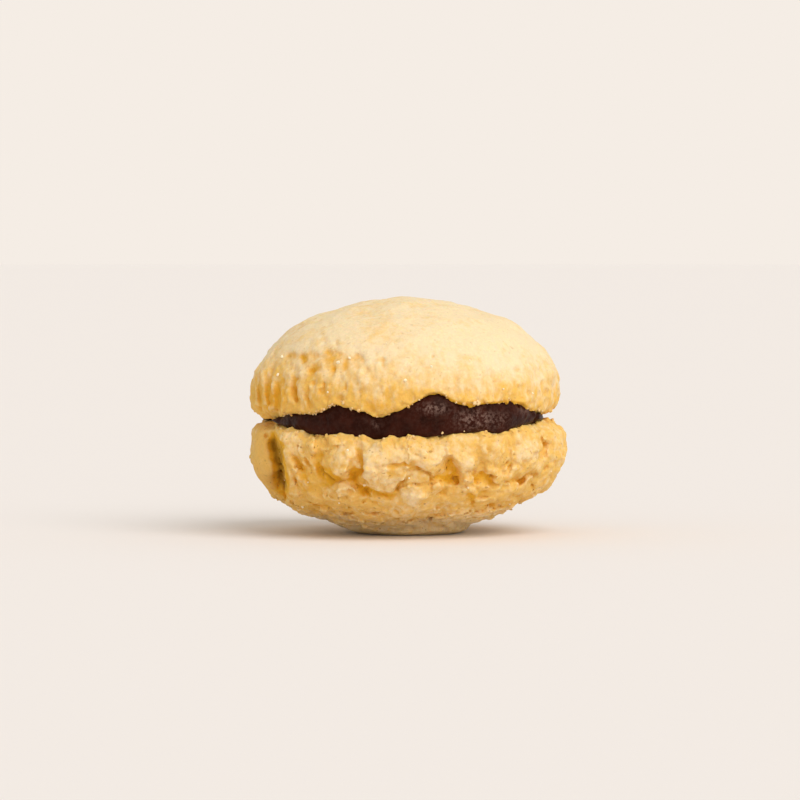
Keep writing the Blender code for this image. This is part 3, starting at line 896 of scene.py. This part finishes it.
        # Soft swells and hollows low down, long across.
        p, q = rng.uniform(-11.5, 12.0), rng.uniform(1.4, 4.6)
        long, tall = rng.uniform(0.5, 1.1), rng.uniform(0.22, 0.42)
        depth = rng.uniform(0.10, 0.20) * (1 if rng.uniform() < 0.4 else -1)
        r.dent((p, q), (long, tall), depth, turn=2.2 * p + rng.uniform(-12, 12))
    for _ in range(46):
        # Short ragged lips: a step down on one side, running up into the crust on the other.
        p, q = rng.uniform(-11.5, 12.0), rng.uniform(3.4, 9.2)
        turn = math.radians(rng.uniform(-38, 30))
        long, bow = rng.uniform(0.35, 1.1), rng.uniform(-0.15, 0.25)
        c, t = math.cos(turn) * long, math.sin(turn) * long
        r.trench(((p - c, q - t, 0.3), (p, q - bow), (p + c, q + t, 0.3)), rng.uniform(0.12, 0.34),
                 0.12, rng.uniform(0.35, 0.75))


def sculpt_bottom():
    dome = BOTTOM
    field = Field((-17.4, -17.4, -0.6), (17.2, 17.4, 12.6), VOXEL)
    base = dome_base(dome, field.x, field.y, field.z)
    quiet = smooth_step(field.z, 0.2, 2.0)
    broad = 0.22 * soft_noise(field.x, field.y, field.z, 6.5, 23)
    broad = broad + 0.11 * soft_noise(field.x, field.y, field.z, 3.2, 24)
    turned = np.degrees(np.arctan2(field.x, -field.y))
    broad = broad + 0.18 * around(turned, -62, 26) * np.exp(-(((field.z - 3.4) / 1.6) ** 2))
    broad = broad + 0.25 * around(turned, -84, 20) * np.exp(-(((field.z - 8.0) / 2.4) ** 2))
    broad = broad + 0.50 * around(turned, -94, 20) * np.exp(-(((field.z - 3.5) / 1.9) ** 2))
    broad = broad + 0.40 * around(turned, 88, 18) * np.exp(-(((field.z - 10.6) / 0.9) ** 2))
    broad = broad - 0.45 * around(turned, 86, 24) * np.exp(-(((field.z - 3.1) / 0.9) ** 2))
    broad = broad + 0.30 * around(turned, 80, 24) * np.exp(-(((field.z - 8.0) / 1.8) ** 2))
    # The drawn forms stand out from a slightly smaller dome.
    azimuth = np.degrees(np.arctan2(field.x, -field.y))
    full = 0.9 * around(azimuth, -56, 34) * (1.0 - smooth_step(field.z, 3.0, 8.5))
    inset = 0.50 * smooth_step(field.z, 0.05, 1.2) * (1.0 - full)
    field.d = (base + inset - quiet * broad).astype(np.float32)
    chosen, z, total, drawn_browning_and_shading = draw(field, base, 3.2, lower_relief, 240, 1.15)
    # Broken facets between the drawn forms.
    points = np.stack([field.axes[i][chosen[i]] for i in range(3)], axis=1)
    bend = np.stack([field.noise(1.3, 260 + i)[chosen] for i in range(3)], axis=1)
    near, second, own = cells(points + 0.4 * bend, 2.3)
    p, q = front_view(points[:, 0], points[:, 1], points[:, 2])
    plain = 1.0 - 0.9 * (points[:, 1] < 0) * (1.0 - smooth_step(p, -13.1, -12.4))
    total = 1.10 * total + plain * (0.42 * (own - 0.5) + 0.14 * bend[:, 1])
    calm = smooth_step(z, 0.15, 0.8) * (0.50 + 0.50 * smooth_step(z, 0.8, 3.5))
    rim = np.abs(points[:, 0])
    turned = np.degrees(np.arctan2(points[:, 0], -points[:, 1]))
    # The outline is smoother than the front, less so by the lobe.
    calm *= 1.0 - (0.7 - 0.45 * around(turned, -66, 22)) * smooth_step(rim, 13.0, 14.8)
    heights = soften(field, chosen, total * calm, 0.13, 0.60)
    field.d -= heights
    field.even_out()
    return field, heights, soften(field, chosen, drawn_browning_and_shading, 0.13)


def finish_bottom(field):
    """The crumb and the seam of the lower dome."""
    grain = field.noise(0.36, 212)
    fine = field.noise(0.75, 202)
    broad = field.noise(2.4, 214)
    chosen, (x, y, z) = field.band(field.d, 0.6)
    points = np.stack([x, y, z], axis=1)
    azimuth = np.degrees(np.arctan2(x, -y))
    bent = points + 0.20 * np.stack([fine[chosen], grain[chosen], -fine[chosen]], axis=1)
    quiet = smooth_step(z, 0.1, 1.2)
    # The split lobe and the cleft beside it are smooth.
    p, q = front_view(x, y, z)
    past = p + 13.2 - 0.145 * (9.55 - q)
    smooth = (y < 0) * (1.0 - smooth_step(past, -0.35, 0.05)) * smooth_step(q, 2.4, 4.0)
    crag = quiet * (1.0 - 0.85 * smooth)
    near, second, own = cells(bent + 3.1, 1.7)
    move = crag * (0.17 * (own - 0.5) - 0.08 * (1.0 - smooth_step(second - near, 0.0, 0.2)))
    near, second, own = cells(bent + 5.1, 1.0)
    move += crag * (0.20 * (0.45 - near) + 0.10 * (own - 0.5))
    near, second, own = cells(bent + 7.7, 0.62)
    move += crag * (0.085 * (0.45 - near) + 0.06 * (own - 0.5))
    move += crag * 0.045 * fine[chosen] + (0.010 + 0.018 * crag) * grain[chosen]
    fringe = 1.0 - smooth_step(seam_height(x, y, False) - z, 0.1, 1.0)
    move += fringe * (0.24 * (0.45 - near) + 0.14 * (own - 0.5) + 0.04 * grain[chosen])
    # Creases where the crumb parted.
    crease = 1.0 - np.clip(np.abs(fine[chosen] + 0.4 * grain[chosen]) / 0.35, 0.0, 1.0)
    move -= crag * 0.07 * crease * smooth_step(broad[chosen], -0.2, 1.2)
    pitted = smooth_step(z, 2.0, 3.5)
    move -= crag * pitted * 0.10 * smooth_step(-fine[chosen] + 0.5 * grain[chosen], 2.0, 2.9)
    # Faint layers, level, stronger low down.
    layer = (z + 0.10 * fine[chosen] + 0.4 * broad[chosen]) / 0.7
    step = layer - np.floor(layer)
    move += crag * (0.12 * (1.0 - smooth_step(z, 2.2, 5.0)) + 0.02) * (step - 0.5)
    field.d[chosen] -= move
    face = seam_height(x, y, False) + 0.12 * fine[chosen] + 0.15 * grain[chosen]
    face += 0.22 * (0.45 - near) * (own > 0.4)
    cut = (field.z - seam_height(field.x, field.y, False)).astype(np.float32)
    cut[chosen] = z - face
    field.d = smooth_max(field.d, cut, 0.35)
    # The flat spot that it stands on.
    field.d = np.maximum(field.d, (-field.z).astype(np.float32))
    return field


# ---------------------------------------------------------------- the chocolate
def filling_relief(r, front):
    """The swells and folds of the chocolate's side."""
    r.dent((2.6, 12.3), (2.9, 1.7), -0.38, turn=-8)
    r.dent((-2.0, 11.3), (1.5, 1.5), 0.20)
    r.dent((-6.6, 11.2), (2.4, 1.2), -0.16)
    r.dent((6.6, 11.4), (2.4, 1.1), -0.14)
    r.dent((10.2, 11.9), (1.2, 1.0), -0.16)
    r.trench(((-3.6, 12.2, 0.5), (-3.2, 11.2), (-2.8, 10.2, 0.6)), 0.22, 0.14, 0.35)
    r.trench(((0.2, 10.0, 0.5), (0.9, 10.9), (1.2, 11.9, 0.5)), 0.14, 0.35, 0.16)
    r.trench(((4.6, 12.6, 0.5), (4.9, 11.6), (5.0, 10.6, 0.5)), 0.12, 0.20, 0.30)
    r.trench(((-9.0, 11.8, 0.4), (-8.6, 11.0), (-8.4, 10.3, 0.4)), 0.14, 0.14, 0.25)
    r.trench(((-8.0, 11.5, 0.4), (-5.5, 11.9), (-3.6, 11.6, 0.4)), 0.08, 0.10, 0.35)


def sculpt_filling():
    field = Field((-16.8, -16.6, 8.8), (16.6, 16.6, 15.6), VOXEL)
    azimuth = np.degrees(np.arctan2(field.x, -field.y))
    across = np.hypot(field.x, field.y)
    upper = seam_height(field.x, field.y, True) + 0.30
    lower = seam_height(field.x, field.y, False) - 0.30
    reach = wave_sum(azimuth, FILLING_RADIUS, FILLING_WAVES)
    swell = field.noise(2.2, 301)
    small = field.noise(0.8, 302)
    tiny = field.noise((0.5, 0.5, 0.3), 303)
    middle = (upper + lower) / 2
    half = (upper - lower) / 2
    # The side bulges: fullest in the middle of the layer, drawn in at both domes.
    off = (field.z - middle) / half
    bulge = 0.16 - 0.34 * off * off
    side = across - (reach + bulge) - 0.07 * swell - 0.035 * small - 0.012 * tiny
    ragged = 3.4 * around(azimuth, 68, 12) + 0.8 * around(azimuth, -66, 14) + 0.3
    side = side - 0.10 * ragged * np.clip(small * tiny, -1.0, 0.8)
    chosen, _, total, _ = draw(field, side, 1.2, filling_relief, 320)
    side = side.astype(np.float32)
    side[chosen] -= total
    slab = np.maximum(field.z - upper, lower - field.z)
    field.d = smooth_max(side, slab.astype(np.float32), 0.30)
    return field


# ---------------------------------------------------------------- materials
class Surface:
    """A material made of nodes; an input takes a socket or a plain value."""

    def __init__(self, name):
        self.material = bpy.data.materials.new(name)
        self.material.use_nodes = True
        self.tree = self.material.node_tree
        self.shader = self.tree.nodes["Principled BSDF"]
        self.place = self.node("ShaderNodeTexCoord").outputs["Object"]

    def put(self, socket, value):
        if isinstance(value, bpy.types.NodeSocket):
            self.tree.links.new(value, socket)
        else:
            socket.default_value = value

    def node(self, kind, inputs=None, **settings):
        node = self.tree.nodes.new(kind)
        for key, value in settings.items():
            setattr(node, key, value)
        for key, value in (inputs or {}).items():
            self.put(node.inputs[key], value)
        return node

    def spread(self, size, shift=0.0, stretch=(1.0, 1.0, 1.0)):
        scale = tuple(1.0 / (size * s * MM) for s in stretch)
        inputs = {"Vector": self.place, "Location": (shift, 0.7 * shift, -shift), "Scale": scale}
        return self.node("ShaderNodeMapping", inputs).outputs[0]

    def noise(self, size, detail=2.0, rough=0.5, shift=0.0, stretch=(1.0, 1.0, 1.0)):
        """Smooth noise of one size (mm), about 0.25 to 0.75."""
        inputs = {
            "Vector": self.spread(size, shift, stretch),
            "Scale": 1.0,
            "Detail": detail,
            "Roughness": rough,
        }
        return self.node("ShaderNodeTexNoise", inputs).outputs["Fac"]

    def grains(self, size, shift=0.0):
        """Distance to scattered points of one size (mm), 0 at each."""
        inputs = {"Vector": self.spread(size, shift), "Scale": 1.0}
        return self.node("ShaderNodeTexVoronoi", inputs).outputs["Distance"]

    def math(self, operation, a, b=0.0, clamp=False):
        node = self.node("ShaderNodeMath", operation=operation, use_clamp=clamp)
        self.put(node.inputs[0], a)
        self.put(node.inputs[1], b)
        return node.outputs[0]

    def ramp(self, value, low, high, start=0.0, end=1.0):
        inputs = {"Value": value, "From Min": low, "From Max": high, "To Min": start, "To Max": end}
        return self.node("ShaderNodeMapRange", inputs, interpolation_type="SMOOTHSTEP").outputs[0]

    def mix(self, factor, a, b, blend="MIX"):
        node = self.node("ShaderNodeMix", data_type="RGBA", blend_type=blend)
        for index, value in ((0, factor), (6, a), (7, b)):
            if isinstance(value, tuple):
                value = (*value, 1.0)
            self.put(node.inputs[index], value)
        return node.outputs[2]

    def value(self, name):
        return self.node("ShaderNodeAttribute", attribute_name=name).outputs["Fac"]

    def finish(self, colour, height, strength, distance, **plain):
        """Wires the colour and the bump, and sets plain values on the shader itself."""
        self.put(self.shader.inputs["Base Color"], colour)
        bump = self.node(
            "ShaderNodeBump", {"Height": height, "Strength": strength, "Distance": distance * MM}
        )
        self.put(self.shader.inputs["Normal"], bump.outputs[0])
        for key, value in plain.items():
            self.put(self.shader.inputs[key.replace("_", " ")], value)
        return self.material


def shortbread(name, pale, gold, deep, shift, streaky, mottled, specks):
    """Baked shortbread: pale where it stands out, with painted highlights on its edges; golden
    where toasted and where painted light and shade lie on its sides; deep orange and then brown as
    painted shade where it is enclosed; grained all over, with a few darker specks of ground nut."""
    s = Surface(name)
    patches = s.noise(3.2, 3.0, 0.55, shift)
    mottle = s.noise(0.7, 3.0, 0.6, shift + 3)
    grain = s.noise(0.20, 2.0, 0.6, shift + 5)
    crumb = s.grains(0.32, shift + 7)
    patchy = s.math("MULTIPLY", s.math("SUBTRACT", patches, 0.5), 1.7)
    toast_and_painted_shading = s.math("ADD", s.value("toast_and_painted_shading"), patchy)
    toast_and_painted_shading = s.math("ADD", toast_and_painted_shading, s.math("MULTIPLY", s.math("SUBTRACT", mottle, 0.5), mottled))
    streak = s.noise(0.55, 3.0, 0.6, shift + 9, (1.0, 1.0, 3.0))
    banded = s.ramp(s.value("toast_and_painted_shading"), 0.2, 0.8, 0.0, streaky)
    banded = s.math("MULTIPLY", s.math("SUBTRACT", streak, 0.5), banded)
    toast_and_painted_shading = s.math("ADD", toast_and_painted_shading, banded, True)
    # Pale to golden by toasting and by painted light and shade.
    colour = s.mix(toast_and_painted_shading, pale, gold)
    uneven = s.math("MULTIPLY", s.math("SUBTRACT", mottle, 0.5), 0.3)
    hollow_shade_and_browning = s.math("ADD", s.value("hollow_shade_and_browning"), uneven)
    # Painted shade: deep orange and then brown in hollows and cracks.
    colour = s.mix(s.ramp(hollow_shade_and_browning, 0.0, 0.75), colour, deep)
    colour = s.mix(s.ramp(hollow_shade_and_browning, 0.95, 1.8), colour, (0.42, 0.210, 0.007))
    # Painted highlight: paler on convex edges.
    colour = s.mix(s.ramp(s.value("edge"), 0.08, 0.6, 0.0, 0.60), colour, pale)
    tone = s.ramp(grain, 0.3, 0.7, 0.955, 1.025)
    tone = s.math("ADD", tone, s.ramp(crumb, 0.2, 0.7, 0.015, -0.02))
    colour = s.mix(1.0, colour, tone, "MULTIPLY")
    speck = s.math("MULTIPLY", s.ramp(s.noise(0.45, 1.0, 0.5, shift + 11), 0.68, 0.75), specks)
    colour = s.mix(speck, colour, (0.36, 0.17, 0.045))
    height = s.math("ADD", s.math("MULTIPLY", mottle, 1.1), s.math("MULTIPLY", grain, 0.42))
    height = s.math("ADD", height, s.math("MULTIPLY", crumb, -0.28))
    rough = s.ramp(mottle, 0.3, 0.7, 0.72, 0.9)
    s.put(s.shader.inputs["Roughness"], rough)
    return s.finish(
        colour, height, 0.42, 0.14, Specular_IOR_Level=0.28, Subsurface_Weight=0.30,
        Subsurface_Radius=(1.0, 0.62, 0.28), Subsurface_Scale=0.0009,
    )


def dark_chocolate():
    """Dark chocolate: satin, faintly rippled, dusty grey where crumbs rubbed it, with grey painted
    sheen on the bulge and in a glint.
    """
    s = Surface("dark_chocolate")
    ripple = s.noise(1.6, 2.0, 0.5, 2.0)
    small = s.noise(0.35, 3.0, 0.65, 4.0)
    tiny = s.noise(0.13, 2.0, 0.6, 6.0)
    colour = s.mix(s.ramp(ripple, 0.35, 0.65), (0.020, 0.0036, 0.0017), (0.036, 0.0070, 0.0035))
    dust_and_painted_sheen = s.math("MULTIPLY", s.value("dust_and_painted_sheen"), s.ramp(small, 0.40, 0.62))
    dust_and_painted_sheen = s.math("MULTIPLY", dust_and_painted_sheen, s.ramp(tiny, 0.35, 0.6, 0.5, 1.0), True)
    # Grey where dusty, and grey painted sheen where the mask marks a highlight.
    colour = s.mix(s.math("MULTIPLY", dust_and_painted_sheen, 0.8), colour, (0.22, 0.135, 0.110))
    height = s.math("ADD", s.math("MULTIPLY", small, 0.7), s.math("MULTIPLY", ripple, 1.2))
    powdery = s.math("MULTIPLY", tiny, s.ramp(s.value("dust_and_painted_sheen"), 0.0, 1.0, 0.1, 0.7))
    height = s.math("ADD", height, powdery)
    rough = s.math("ADD", s.ramp(dust_and_painted_sheen, 0.0, 0.6, 0.30, 0.62), s.value("dry"))
    s.put(s.shader.inputs["Roughness"], rough)
    shine = s.ramp(s.value("dry"), 0.03, 0.45, 0.08, 0.01)
    return s.finish(
        colour, height, 0.5, 0.16, Specular_IOR_Level=shine, Specular_Tint=(1.0, 0.72, 0.6, 1.0)
    )


def loose_crumb():
    s = Surface("loose_crumb")
    mottle = s.noise(0.9, 3.0, 0.6, 1.0)
    colour = s.mix(s.ramp(mottle, 0.35, 0.65), (0.86, 0.64, 0.34), (0.76, 0.43, 0.11))
    grain = s.noise(0.12, 2.0, 0.6, 3.0)
    return s.finish(colour, grain, 0.5, 0.08, Roughness=0.85, Specular_IOR_Level=0.25)


def sugar():
    s = Surface("sugar_crystal")
    mottle = s.noise(0.25, 1.0, 0.5, 1.0)
    colour = s.mix(s.ramp(mottle, 0.3, 0.7), (0.95, 0.84, 0.62), (0.92, 0.74, 0.46))
    return s.finish(
        colour, s.noise(0.1, 1.0, 0.5, 2.0), 0.2, 0.03, Roughness=0.28, Specular_IOR_Level=0.5,
        Subsurface_Weight=0.3, Subsurface_Radius=(1.0, 0.8, 0.6), Subsurface_Scale=0.0003,
    )


def plain_floor():
    s = Surface("pale_floor")
    mottle = s.noise(90.0, 2.0, 0.5, 1.0)
    colour = s.mix(mottle, (0.862, 0.825, 0.820), (0.866, 0.829, 0.824))
    return s.finish(colour, s.noise(0.5), 0.05, 0.02, Roughness=0.9, Specular_IOR_Level=0.1)


# ---------------------------------------------------------------- pieces
def ride(obj, node):
    if node:
        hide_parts(node)
    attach(obj, "root")


def seen(points):
    return front_view(points[:, 0], points[:, 1], points[:, 2])


def grade(obj_points, field, heights, drawn_browning_and_shading, top):
    """Toasting with painted light and shade on the sides, painted shade in hollows, and painted
    highlights on edges, at each point of a biscuit.
    """
    x, y, z = obj_points.T
    azimuth = np.degrees(np.arctan2(x, -y))
    height = sample(field, heights, obj_points)
    drawn_browning_and_shading = sample(field, drawn_browning_and_shading, obj_points)
    # Painted shade: the colour deepens where the surface is enclosed, as shade falls there, and
    # with the drawn browning and shading.
    hollow_shade_and_browning = 0.40 * hollowness(field, obj_points, 0.55) + 0.45 * hollowness(field, obj_points, 1.5)
    hollow_shade_and_browning += 0.60 * drawn_browning_and_shading
    if not top:
        # Less painted shade low down by the foot.
        hollow_shade_and_browning *= 0.25 + 0.75 * smooth_step(z, 0.8, 3.4)
    face = seam_height(x, y, top)
    from_seam = (z - face) if top else (face - z)
    clear = smooth_step(from_seam, 0.0, 1.2)
    hollow_shade_and_browning = hollow_shade_and_browning * clear
    if top:
        # The fringe is darker where it touches the chocolate: chocolate stain and painted shade in
        # the seam's crease.
        touched = 0.25 + 0.75 * around(azimuth, 24, 30)
        hollow_shade_and_browning += 0.75 * touched * (1.0 - smooth_step(from_seam, 0.08, 0.36))
    # Painted highlight: convex edges come out paler.
    edge = -hollowness(field, obj_points, 0.3) * clear
    if top:
        # More golden low on the band; painted shade on the left, painted light on the right.
        toast_and_painted_shading = 0.10 + 0.75 * (1.0 - smooth_step(z, 13.2, 18.8))
        toast_and_painted_shading += 0.30 * around(azimuth, -70, 55) * (1.0 - smooth_step(z, 14.0, 20.0))
        toast_and_painted_shading -= 0.26 * around(azimuth, 45, 32) * smooth_step(z, 14.2, 16.2)
    else:
        # Paler where the crust stands out and more golden where it sinks, partly painted light and
        # shade; painted light at the foot and low at the sides; painted shade on the left and on
        # the right above the foot.
        toast_and_painted_shading = 0.95 - 0.50 * smooth_step(height, -0.1, 0.8)
        toast_and_painted_shading -= 0.80 * (1.0 - smooth_step(z, 0.6, 3.4))
        side = np.sin(np.radians(azimuth))
        toast_and_painted_shading -= np.where(side < 0, 0.6, 0.2) * np.abs(side) ** 3 * (1.0 - smooth_step(z, 1.0, 4.0))
        toast_and_painted_shading += 0.35 * around(azimuth, -66, 40)
        toast_and_painted_shading += 0.14 * around(azimuth, 42, 26) * smooth_step(z, 2.0, 4.0)
    # Darker by the seam; paler under the drawn paler patches: painted light on lit faces, and pale
    # crumbs.
    toast_and_painted_shading += 0.25 * (1.0 - smooth_step(from_seam, 0.0, 0.9)) + 0.45 * np.minimum(drawn_browning_and_shading, 0.0)
    return {"toast_and_painted_shading": toast_and_painted_shading, "hollow_shade_and_browning": hollow_shade_and_browning, "edge": edge}


golden = shortbread(
    "shortbread_smooth", (0.85, 0.678, 0.42), (0.81, 0.480, 0.105), (0.76, 0.375, 0.022),
    shift=0.0, streaky=1.8, mottled=1.1, specks=0.22,
)
toasted = shortbread(
    "shortbread_craggy", (0.85, 0.640, 0.355), (0.80, 0.485, 0.122), (0.78, 0.400, 0.018),
    shift=20.0, streaky=0.8, mottled=2.4, specks=0.55,
)
chocolate = dark_chocolate()

field, heights, drawn_browning_and_shading = sculpt_top()
field = finish_top(field)
points, corners = mesh_of(field)
values = grade(points, field, heights, drawn_browning_and_shading, True)
top = to_object("cookie_top", points, corners, golden, values)
inner = np.hypot(points[:, 0], points[:, 1]) < 13.2
hidden = inner & (np.abs(points[:, 2] - seam_height(points[:, 0], points[:, 1], True)) < 0.6)
thin_hidden(top, hidden, 1.0 - 0.92 * hidden.mean())
ride(top, "top_biscuit")

field, heights, drawn_browning_and_shading = sculpt_bottom()
field = finish_bottom(field)
points, corners = mesh_of(field, 0.0)
values = grade(points, field, heights, drawn_browning_and_shading, False)
bottom = to_object("cookie_bottom", points, corners, toasted, values)
inner = np.hypot(points[:, 0], points[:, 1]) < 13.2
hidden = inner & (np.abs(points[:, 2] - seam_height(points[:, 0], points[:, 1], False)) < 0.6)
thin_hidden(bottom, hidden, 1.0 - 0.92 * hidden.mean())
ride(bottom, "bottom_biscuit")

field = sculpt_filling()
points, corners = mesh_of(field)
p, q = seen(points)
# Dust rubbed on by crumbs, and painted sheen: the patch on the bulge at (2.5, 12.4) and the small
# spot at (-3.4, 10.9) stand in for a highlight and a glint.
dust_and_painted_sheen = np.zeros(len(points))
for place, size, amount in (
    ((6.6, 11.3), (1.6, 0.9), 1.4), ((2.5, 12.4), (1.2, 0.5), 1.3),
    ((11.6, 12.3), (0.6, 0.4), 0.9), ((-12.2, 11.4), (0.6, 0.4), 0.3),
    ((9.2, 11.2), (0.9, 0.7), 0.5), ((-3.4, 10.9), (0.25, 0.4), 0.8),
):
    dust_and_painted_sheen += amount * np.exp(-(((p - place[0]) / size[0]) ** 2) - ((q - place[1]) / size[1]) ** 2)
dust_and_painted_sheen *= smooth_step(-points[:, 1], 0.0, 4.0)
azimuth = np.degrees(np.arctan2(points[:, 0], -points[:, 1]))
for centre, width, height, tall, amount in (
    (118, 9, 11.3, 0.9, 0.9), (172, 12, 11.6, 0.8, 0.9),
    (-146, 9, 11.0, 0.7, 0.7), (-104, 7, 11.6, 0.6, 0.8),
):
    level = np.exp(-(((points[:, 2] - height) / tall) ** 2))
    dust_and_painted_sheen += amount * around(azimuth, centre, width) * level
across = np.hypot(points[:, 0], points[:, 1])
dry = 0.02 + 0.50 * (1.0 - smooth_step(across, 13.6, 14.6))
values = {"dust_and_painted_sheen": np.clip(dust_and_painted_sheen + 0.06, 0, 1), "dry": np.clip(dry, 0, 0.5)}
filling = to_object("chocolate_layer", points, corners, chocolate, values)
hidden = np.hypot(points[:, 0], points[:, 1]) < 12.6
thin_hidden(filling, hidden, 1.0 - 0.94 * hidden.mean())
ride(filling, "filling")


# ---------------------------------------------------------------- crystals and crumbs
def surface_of(obj):
    count = len(obj.data.vertices)
    co, no = np.empty(count * 3, np.float32), np.empty(count * 3, np.float32)
    obj.data.vertices.foreach_get("co", co)
    obj.data.vertices.foreach_get("normal", no)
    return co.reshape(-1, 3) / MM, no.reshape(-1, 3)


def pebble(level):
    """Points and triangles of a small ball."""
    ball = bmesh.new()
    bmesh.ops.create_icosphere(ball, subdivisions=level, radius=1.0)
    ball.verts.ensure_lookup_table()
    points = np.array([v.co for v in ball.verts])
    faces = np.array([[v.index for v in f.verts] for f in ball.faces])
    ball.free()
    return points, faces


def strew(name, spots, normals, sizes, sink, boxy, level, seed, material):
    """One mesh of small grains, each turned and shaped differently, sunk into the surface."""
    rng = np.random.RandomState(seed)
    ball, faces = pebble(level)
    all_points, all_faces = [], []
    for i, (spot, normal, size) in enumerate(zip(spots, normals, sizes)):
        shape = ball * (1.0 + rng.uniform(-0.30, 0.30, (len(ball), 1)))
        if boxy:
            shape = np.sign(ball) * np.abs(ball) ** 0.5 * 0.8
        shape = shape * rng.uniform(0.7, 1.3, 3)
        turn, _ = np.linalg.qr(rng.normal(size=(3, 3)))
        if np.linalg.det(turn) < 0:
            turn[:, 0] = -turn[:, 0]
        shape = shape @ turn.T * (size / 2)
        all_points.append(shape + spot + normal * size * (0.5 - sink))
        all_faces.append(faces + i * len(ball))
    obj = to_object(name, np.concatenate(all_points), np.concatenate(all_faces), material)
    if boxy:
        obj.data.shade_flat()
    ride(obj, None)
    return obj


def nearest_front(points, place):
    p, q = seen(points)
    off = (p - place[0]) ** 2 + (q - place[1]) ** 2 + np.where(points[:, 1] > -1.0, 1e3, 0.0)
    return int(np.argmin(off))


rng = np.random.RandomState(77)
spots, normals, sizes = [], [], []
for obj, named, low, high, count in (
    (top, ((-12.7, 17.55), (-13.1, 15.75), (-7.1, 16.95), (-5.9, 17.4), (9.4, 14.3), (-0.4, 15.2)),
     12.6, 20.5, 14),
    (bottom, ((5.94, 4.48), (-4.45, 4.7), (-6.2, 8.2), (-10.6, 2.6)), 1.5, 10.4, 14),
):
    co, no = surface_of(obj)
    chosen = [nearest_front(co, place) for place in named]
    fit = np.nonzero((co[:, 2] > low) & (co[:, 2] < high) & (np.hypot(co[:, 0], co[:, 1]) > 8))[0]
    chosen += rng.choice(fit, count, replace=False).tolist()
    for i, index in enumerate(chosen):
        spots.append(co[index])
        normals.append(no[index])
        sizes.append(rng.uniform(0.26, 0.36) if i < len(named) else rng.uniform(0.14, 0.24))
strew("sugar_crystals", spots, normals, sizes, 0.35, True, 2, 78, sugar())

co, no = surface_of(filling)
azimuth = np.degrees(np.arctan2(co[:, 0], -co[:, 1]))
high_edge = seam_height(co[:, 0], co[:, 1], True) - co[:, 2]
low_edge = co[:, 2] - seam_height(co[:, 0], co[:, 1], False)
outer = np.hypot(co[:, 0], co[:, 1]) > 13.6
spots, normals, sizes = [], [], []
for off, count in ((high_edge, 10), (low_edge, 8)):
    fit = np.nonzero(outer & (off > -0.12) & (off < 0.08) & (high_edge + low_edge > 1.0))[0]
    for index in rng.choice(fit, count, replace=False):
        spots.append(co[index])
        normals.append(no[index])
        sizes.append(rng.uniform(0.10, 0.22))
for obj, upper, count, more in ((top, True, 90, 34), (bottom, False, 70, 10)):
    co, no = surface_of(obj)
    azimuth = np.degrees(np.arctan2(co[:, 0], -co[:, 1]))
    off = (co[:, 2] - seam_height(co[:, 0], co[:, 1], upper)) * (1.0 if upper else -1.0)
    fit = (np.hypot(co[:, 0], co[:, 1]) > 14.3) & (off > -0.1) & (off < 0.40)
    some = np.nonzero(fit)[0]
    left = np.nonzero(fit & (np.abs(azimuth + 42.0) < 22.0))[0]
    chosen = [rng.choice(some, count, replace=False), rng.choice(left, more, replace=False)]
    for index in np.concatenate(chosen):
        spots.append(co[index])
        normals.append(no[index])
        sizes.append(rng.uniform(0.16, 0.40))
strew("crumbs", spots, normals, sizes, 0.50, False, 2, 79, loose_crumb())


# ---------------------------------------------------------------- floor, light, camera
def look_from(obj, place, target):
    obj.location = Vector(place)
    obj.rotation_euler = (Vector(target) - Vector(place)).to_track_quat("-Z", "Y").to_euler()


floor_mesh = bpy.data.meshes.new("floor")
floor_mesh.from_pydata(
    [(-6, -6, -0.00002), (6, -6, -0.00002), (6, 6, -0.00002), (-6, 6, -0.00002)], [], [(0, 1, 2, 3)]
)
floor = bpy.data.objects.new("floor", floor_mesh)
bpy.context.scene.collection.objects.link(floor)
floor_mesh.materials.append(plain_floor())
floor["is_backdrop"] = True

world = bpy.data.worlds.new("studio")
bpy.context.scene.world = world
world.use_nodes = True
tree = world.node_tree
light = tree.nodes["Background"]
light.inputs["Color"].default_value = (1.0, 0.955, 0.87, 1.0)
light.inputs["Strength"].default_value = 0.645
# What is seen past the floor's far edge has the lit floor's own colour.
far = tree.nodes.new("ShaderNodeBackground")
far.inputs["Color"].default_value = (0.913, 0.847, 0.783, 1.0)
choice = tree.nodes.new("ShaderNodeMixShader")
path = tree.nodes.new("ShaderNodeLightPath")
tree.links.new(path.outputs["Is Camera Ray"], choice.inputs[0])
tree.links.new(light.outputs[0], choice.inputs[1])
tree.links.new(far.outputs[0], choice.inputs[2])
tree.links.new(choice.outputs[0], tree.nodes["World Output"].inputs["Surface"])

sun = bpy.data.lights.new("key", "SUN")
sun.energy = 1.80
sun.angle = math.radians(50)
sun.color = (1.0, 0.985, 0.96)
key = bpy.data.objects.new("key", sun)
bpy.context.scene.collection.objects.link(key)
look_from(key, (0.36, -0.46, 0.55), (0, 0, 0.01))
low_sun = bpy.data.lights.new("fill", "SUN")
low_sun.energy = 0.26
low_sun.angle = math.radians(30)
low_sun.color = (1.0, 0.97, 0.93)
fill = bpy.data.objects.new("fill", low_sun)
bpy.context.scene.collection.objects.link(fill)
look_from(fill, (0.10, -0.60, 0.10), (0, 0, 0.01))

camera_data = bpy.data.cameras.new("camera")
camera_data.lens = 200.0
camera_data.sensor_width = 36.0
camera_data.clip_start = 0.01
camera_data.clip_end = 20.0
camera = bpy.data.objects.new("camera", camera_data)
bpy.context.scene.collection.objects.link(camera)
aim = Vector(AIM) * MM
slope = math.radians(ELEVATION)
look_from(camera, aim + Vector((0.0, -math.cos(slope), math.sin(slope))) * DISTANCE * MM, aim)
bpy.context.scene.camera = camera
bpy.context.scene.view_settings.view_transform = "Standard"

low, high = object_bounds()
